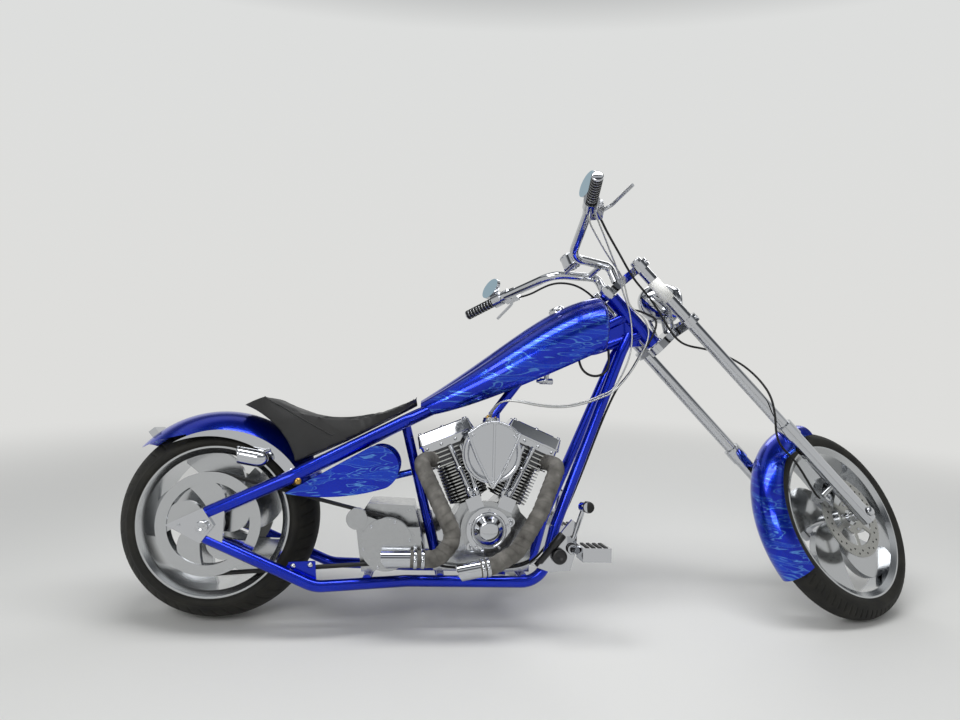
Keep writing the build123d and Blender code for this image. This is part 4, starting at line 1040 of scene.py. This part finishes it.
def on_tail_lens(centre, normal):
    """Whether a face of the rear lights is the tail lamp's lens."""
    return normal.normalized().dot(TAIL_WAY) > 0.95 and (centre - TAIL_PLACE).length < 0.08


given_faces("mirrors", MIRROR, on_glass)
given_faces("rear_lights", RED, on_tail_lens)


# Grips, wrap, pegs and small fittings

def grip_profile():
    """Rubber rings between grooves, as radius and distance from the controls."""
    rows = [(16.2, 30), (18.9, 31)]
    for index in range(9):
        start = 36 + 13 * index
        rows += [(18.9, start), (17.2, start + 0.8), (17.2, start + 3.2), (18.9, start + 4)]
    return rows + [(18.9, 153), (16.5, 154)]


grip_spots = []
for side, name in SIDES:
    start = Vector((-137, side * 305, 1473))
    end = Vector((-202, side * 440, 1514))
    way = (end - start).normalized()
    grip_spots.append((start, way))
    rings = [(start + way * (38 + 13 * index), way) for index in range(9)]
    ring = [(17, -1.4), (18.6, -1.2), (18.6, 1.2), (17, 1.4)]
    turned_part(name + "_grip_rings", rings, ring, 36, body="fork")
    button = [(18.6, 0), (18.9, 1), (18.6, 4), (15, 6), (0, 6.6)]
    turned_part(name + "_grip_end", [(start + way * 152.5, way)], button, 36, body="fork")
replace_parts(turned_part("grip_rubbers", grip_spots, grip_profile(), 36, RUBBER, "fork"), "grips")

TUBE_AHEAD, TUBE_OUT = 81.5, 127
band = [(22.05, 0), (22.5, 0), (22.5, 92), (22.05, 92)]
turned_part("blank_wrap", [((TUBE_AHEAD, -TUBE_OUT, 1045), (0, 0, 1))], band, 40, LABEL, "fork")
axle_ends = [((TUBE_AHEAD, side * 156.8, 0), (0, side, 0)) for side in (-1, 1)]
turned_part("front_axle_nuts", axle_ends, dome(17, 9), 36, body="fork")
pinch = [((108.2, side * TUBE_OUT, z), (1, 0, 0)) for side in (-1, 1) for z in (-16, 16)]
turned_part("slider_screws", pinch, socket_screw(5, 5), 16, body="fork")
clamps = [((TUBE_AHEAD, side * 160.5, z), (0, side, 0)) for side in (-1, 1) for z in (937, 1207)]
turned_part("clamp_screws", clamps, socket_screw(6, 5), 18, body="fork")
tops = [((TUBE_AHEAD, side * TUBE_OUT, 1233.8), (0, 0, 1)) for side in (-1, 1)]
turned_part("fork_caps", tops, [(20, 0), (20, 2), (17, 4), (12, 4), (11, 2), (0, 2)], 36, body="fork")
turned_part("stem_nut_cap", [((0, 0, 1235.8), (0, 0, 1))], dome(16, 7), 32, body="fork")

# A strip's corners from its middle, first round its foot and then round its narrower top
STRIP = (
    (-6, -44, 0), (6, -44, 0), (6, 44, 0), (-6, 44, 0),
    (-4.5, -42, 3), (4.5, -42, 3), (4.5, 42, 3), (-4.5, 42, 3),
)
for side, name in SIDES:
    points, faces = [], []
    for x in (1206, 1226, 1246, 1266):
        first = len(points)
        points += [on(machine, x + dx, side * 252 + dy, 290 + dz) for dx, dy, dz in STRIP]
        for quad in ((0, 1, 5, 4), (1, 2, 6, 5), (2, 3, 7, 6), (3, 0, 4, 7), (4, 5, 6, 7)):
            faces.append(tuple(first + corner for corner in quad))
    piece(name + "_peg_rubbers", points, faces, RUBBER, "chassis", False)
    band = [(16.1, -4), (17.6, -3), (17.6, 3), (16.1, 4)]
    turned_part(name + "_peg_band", [((1180, side * 190, 268), (0, side, 0))], band, 28, RUBBER)
    pad = [(17.1, -44), (18.6, -42), (18.6, -3), (16, 0.6), (0, 0.8)]
    turned_part(name + "_pedal_pad", [((1216, side * 262, 412), (-0.064, side, 0.064))], pad, 32, RUBBER)

plate = [((x, side * 228, 331), (0, side, 0)) for side in (-1, 1) for x in (-72, 22)]
turned_part("axle_plate_screws", plate, socket_screw(4.5, 3.5), 16)
axle_ends = [((0, side * 241.8, REAR_TYRE_RADIUS), (0, side, 0)) for side in (-1, 1)]
turned_part("rear_axle_caps", axle_ends, [(18.6, 0), (17, 1.4), (9, 1.4), (8, 0.4), (0, 0.4)], 32)
hub = spots_round((0, -170.8, 0), 36, (0.3, 1.55, 2.8, 4.06, 5.31))
turned_part("pulley_screws", hub, socket_screw(6, 6), 18, body="rear_wheel")
carrier = spots_round((0, -77, 0), 48, SIX_ROUND)
turned_part("front_disc_screws", carrier, socket_screw(5, 3), 16, body="front_wheel")
# The drilled holes are not cut: each is a thin black disc on both faces of the rotor, painted shade where a
# hole would look dark
drilled = []
for row, radius in enumerate((134, 122)):
    for index in range(18):
        turn = math.radians(20 * (index + row / 2))
        for y, side in ((-77, -1), (-72, 1)):
            drilled += spots_round((0, y, 0), radius, [turn], side)
turned_part("front_disc_painted_hole_shade", drilled, [(4, 0.05), (3.9, 0.12), (0, 0.12)], 14, SOOT_AND_SHADE, "front_wheel")
cap = [(17, 0), (17, 4), (14, 6), (8, 6), (7, 4), (0, 4)]
turned_part("front_caliper_cap", [((35.5, -96.4, 132.3), (0, -1, 0))], cap, 32, body="fork")

# Each fitting's name, place, way, profile, sides and finish
for name, spot, way, profile, sides, material in (
    ("filler_cap", (1153, 0, 1087), (-0.40, 0, 0.917),
     [(30, -22), (30, 12), (28.5, 14), (24.5, 14), (24.5, 19), (22, 21), (0, 21)], 48, CHROME),
    ("fuel_tap", (1127, -58, 829), (-1, 0, 0),
     [(0, -3), (7, -3), (11, 0), (11, 44), (7, 46), (6, 56), (0, 56)], 24, CHROME),
    ("fuel_tap_neck", (1106, -58, 832), (0, 0, 1), [(9, 0), (9, 20), (12, 21), (12, 40)], 24, CHROME),
    ("fuel_tap_lever", (1098, -66, 829), (0, -1, 0),
     [(5, 0), (5, 22), (7, 23), (7, 28), (0, 28)], 18, CHROME),
    ("rear_brake_cylinder", (1072, -192, 226), (78, 0, 92),
     [(0, -18), (5, -18), (5, -4), (9, -3), (9, 0), (11, 1), (11, 60), (14.5, 62), (14.5, 112), (12, 118),
      (0, 118)], 28, ENAMEL),
    ("rear_brake_reservoir", (1136, -180, 244), (0, -1, 0),
     [(25, 0), (25, 22), (22, 26), (9, 26), (8, 24), (0, 24)], 36, ENAMEL),
):
    turned_part(name, [(spot, way)], profile, sides, material)


def rail_bracket():
    """The painted lug on the lower rail, with its two domed screws."""
    outline = [(250, 184), (262, 214), (345, 218), (353, 146), (330, 158)]
    points = [on(machine, x, y, z) for y in (-182, -176) for x, z in outline]
    count = len(outline)
    faces = [tuple(range(count)), tuple(reversed(range(count, 2 * count)))]
    faces += [(i, i + count, (i + 1) % count + count, (i + 1) % count) for i in range(count)]
    piece("rail_bracket", points, faces, LACQUER, "chassis", False)
    screws = [((x, -181.8, z), (0, -1, 0)) for x, z in ((276, 201), (330, 205))]
    turned_part("rail_bracket_screws", screws, dome(9, 7), 20)


rail_bracket()
struts = [((278, side * 200, 470), (0.45, side, 0.2)) for side in (-1, 1)]
turned_part("strut_screws", struts, [(11, -26), (11, 12), (9, 15), (0, 15)], 20, BRASS)


# Seat seams

SEAM = [
    (150, 738), (180, 722), (210, 708), (250, 684), (292, 662), (332, 641), (372, 620), (412, 600),
    (470, 628), (530, 662), (590, 700), (640, 736),
]


def seat_seams():
    """Welted seams pressed into the cushion along the line where the side panels meet the top."""
    tree = BVHTree.FromObject(seat_cushion, bpy.context.evaluated_depsgraph_get())
    for side, name in SIDES:
        points = []
        for x, z in SEAM:
            hit = tree.ray_cast(on(machine, x, side * 320, z), -side * machine_left)
            if hit[0] is not None:
                points.append(machine.inverted() @ (hit[0] - side * machine_left * -0.0004) / MM)
        if len(points) > 3:
            route = [a.lerp(b, t / 5) for a, b in zip(points, points[1:]) for t in range(5)] + [points[-1]]
            tube(name + "_seat_welt", route, 2.1, 10, LEATHER)


seat_seams()


# Stage, lamps and camera

def pale_floor():
    """A plain pale floor that keeps the machine's shadow and fades into the wall behind."""
    bpy.ops.mesh.primitive_circle_add(vertices=128, radius=60, fill_type="NGON", location=(0, 0, 0))
    floor = bpy.context.object
    floor.name = "floor"
    made, tree = finish("pale_matt_floor", "#e0e0de", 0.9, Specular_IOR_Level=0.1)
    place = node(tree, "NewGeometry", output="Position")
    reach = node(tree, "VectorMath", [place], "Value", operation="LENGTH")
    far = node(tree, "MapRange", [reach, 1.9, 5.5], interpolation_type="SMOOTHSTEP")
    rays = ("Is Camera Ray", "Is Glossy Ray", "Is Transmission Ray")
    seen, mirrored, through = (node(tree, "LightPath", output=ray) for ray in rays)
    shown = node(tree, "Math", [seen, mirrored], operation="MAXIMUM")
    shown = node(tree, "Math", [shown, through], operation="MAXIMUM")
    shown = node(tree, "Math", [shown, far], operation="MULTIPLY")
    wall = node(tree, "Emission", {"Color": linear("#dededc"), "Strength": 1.0})
    both = node(tree, "MixShader", [shown, tree.nodes["Principled BSDF"].outputs["BSDF"], wall])
    tree.links.new(both, tree.nodes["Material Output"].inputs["Surface"])
    floor.data.materials.append(made)


def studio_sky():
    """A pale room: light walls and a greyer ceiling, so that metal has something to show."""
    world = bpy.data.worlds.new("studio")
    scene.world = world
    world.use_nodes = True
    tree = world.node_tree
    shade = tree.nodes["Background"]
    height = node(tree, "SeparateXYZ", [node(tree, "TexCoord", output="Generated")], "Z")
    colour = node(tree, "ValToRGB", [height], stops=[
        (0.0, "#dededc"), (0.38, "#dddedd"), (0.5, "#6a6d70"), (0.64, "#3c3f43"), (0.7, "#cfd1d2"),
        (0.82, "#cfd1d2"), (0.9, "#43464a"),
    ])
    tree.links.new(colour, shade.inputs["Color"])
    shade.inputs["Strength"].default_value = 1.0


def soft_box(name, place, aim, width, height, watts):
    """A soft lamp aimed at a point."""
    light = bpy.data.lights.new(name, "AREA")
    light.shape = "RECTANGLE"
    light.size = width
    light.size_y = height
    light.energy = watts
    lamp = bpy.data.objects.new(name, light)
    lamp.location = place
    lamp.rotation_euler = (Vector(aim) - Vector(place)).to_track_quat("-Z", "Y").to_euler()
    scene.collection.objects.link(lamp)


def photo_camera():
    """The camera at the photograph's place, tilt and lens."""
    data = bpy.data.cameras.new("photo_camera")
    data.sensor_width = 36
    data.lens = 25.766
    camera = bpy.data.objects.new("photo_camera", data)
    turn = Matrix.Rotation(math.radians(-4.71), 4, "Z")
    for angle, axis in ((-3.23, "X"), (-1.84, "Y"), (90, "X")):
        turn = turn @ Matrix.Rotation(math.radians(angle), 4, axis)
    place = Vector((rear_hub.x + 0.6726, rear_hub.y - 2.3953, 1.0269))
    camera.matrix_world = Matrix.Translation(place) @ turn
    scene.collection.objects.link(camera)
    scene.camera = camera


pale_floor()
studio_sky()
soft_box("overhead_box", (0.0, -0.5, 3.4), (0, 0, 0.5), 3.4, 0.9, 66)
soft_box("near_box", (-1.8, -3.4, 2.8), (0, 0, 0.6), 2.2, 1.2, 44)
soft_box("far_box", (1.8, 3.2, 2.8), (0, 0, 0.6), 2.6, 1.2, 34)
photo_camera()

scene.view_settings.view_transform = "Standard"
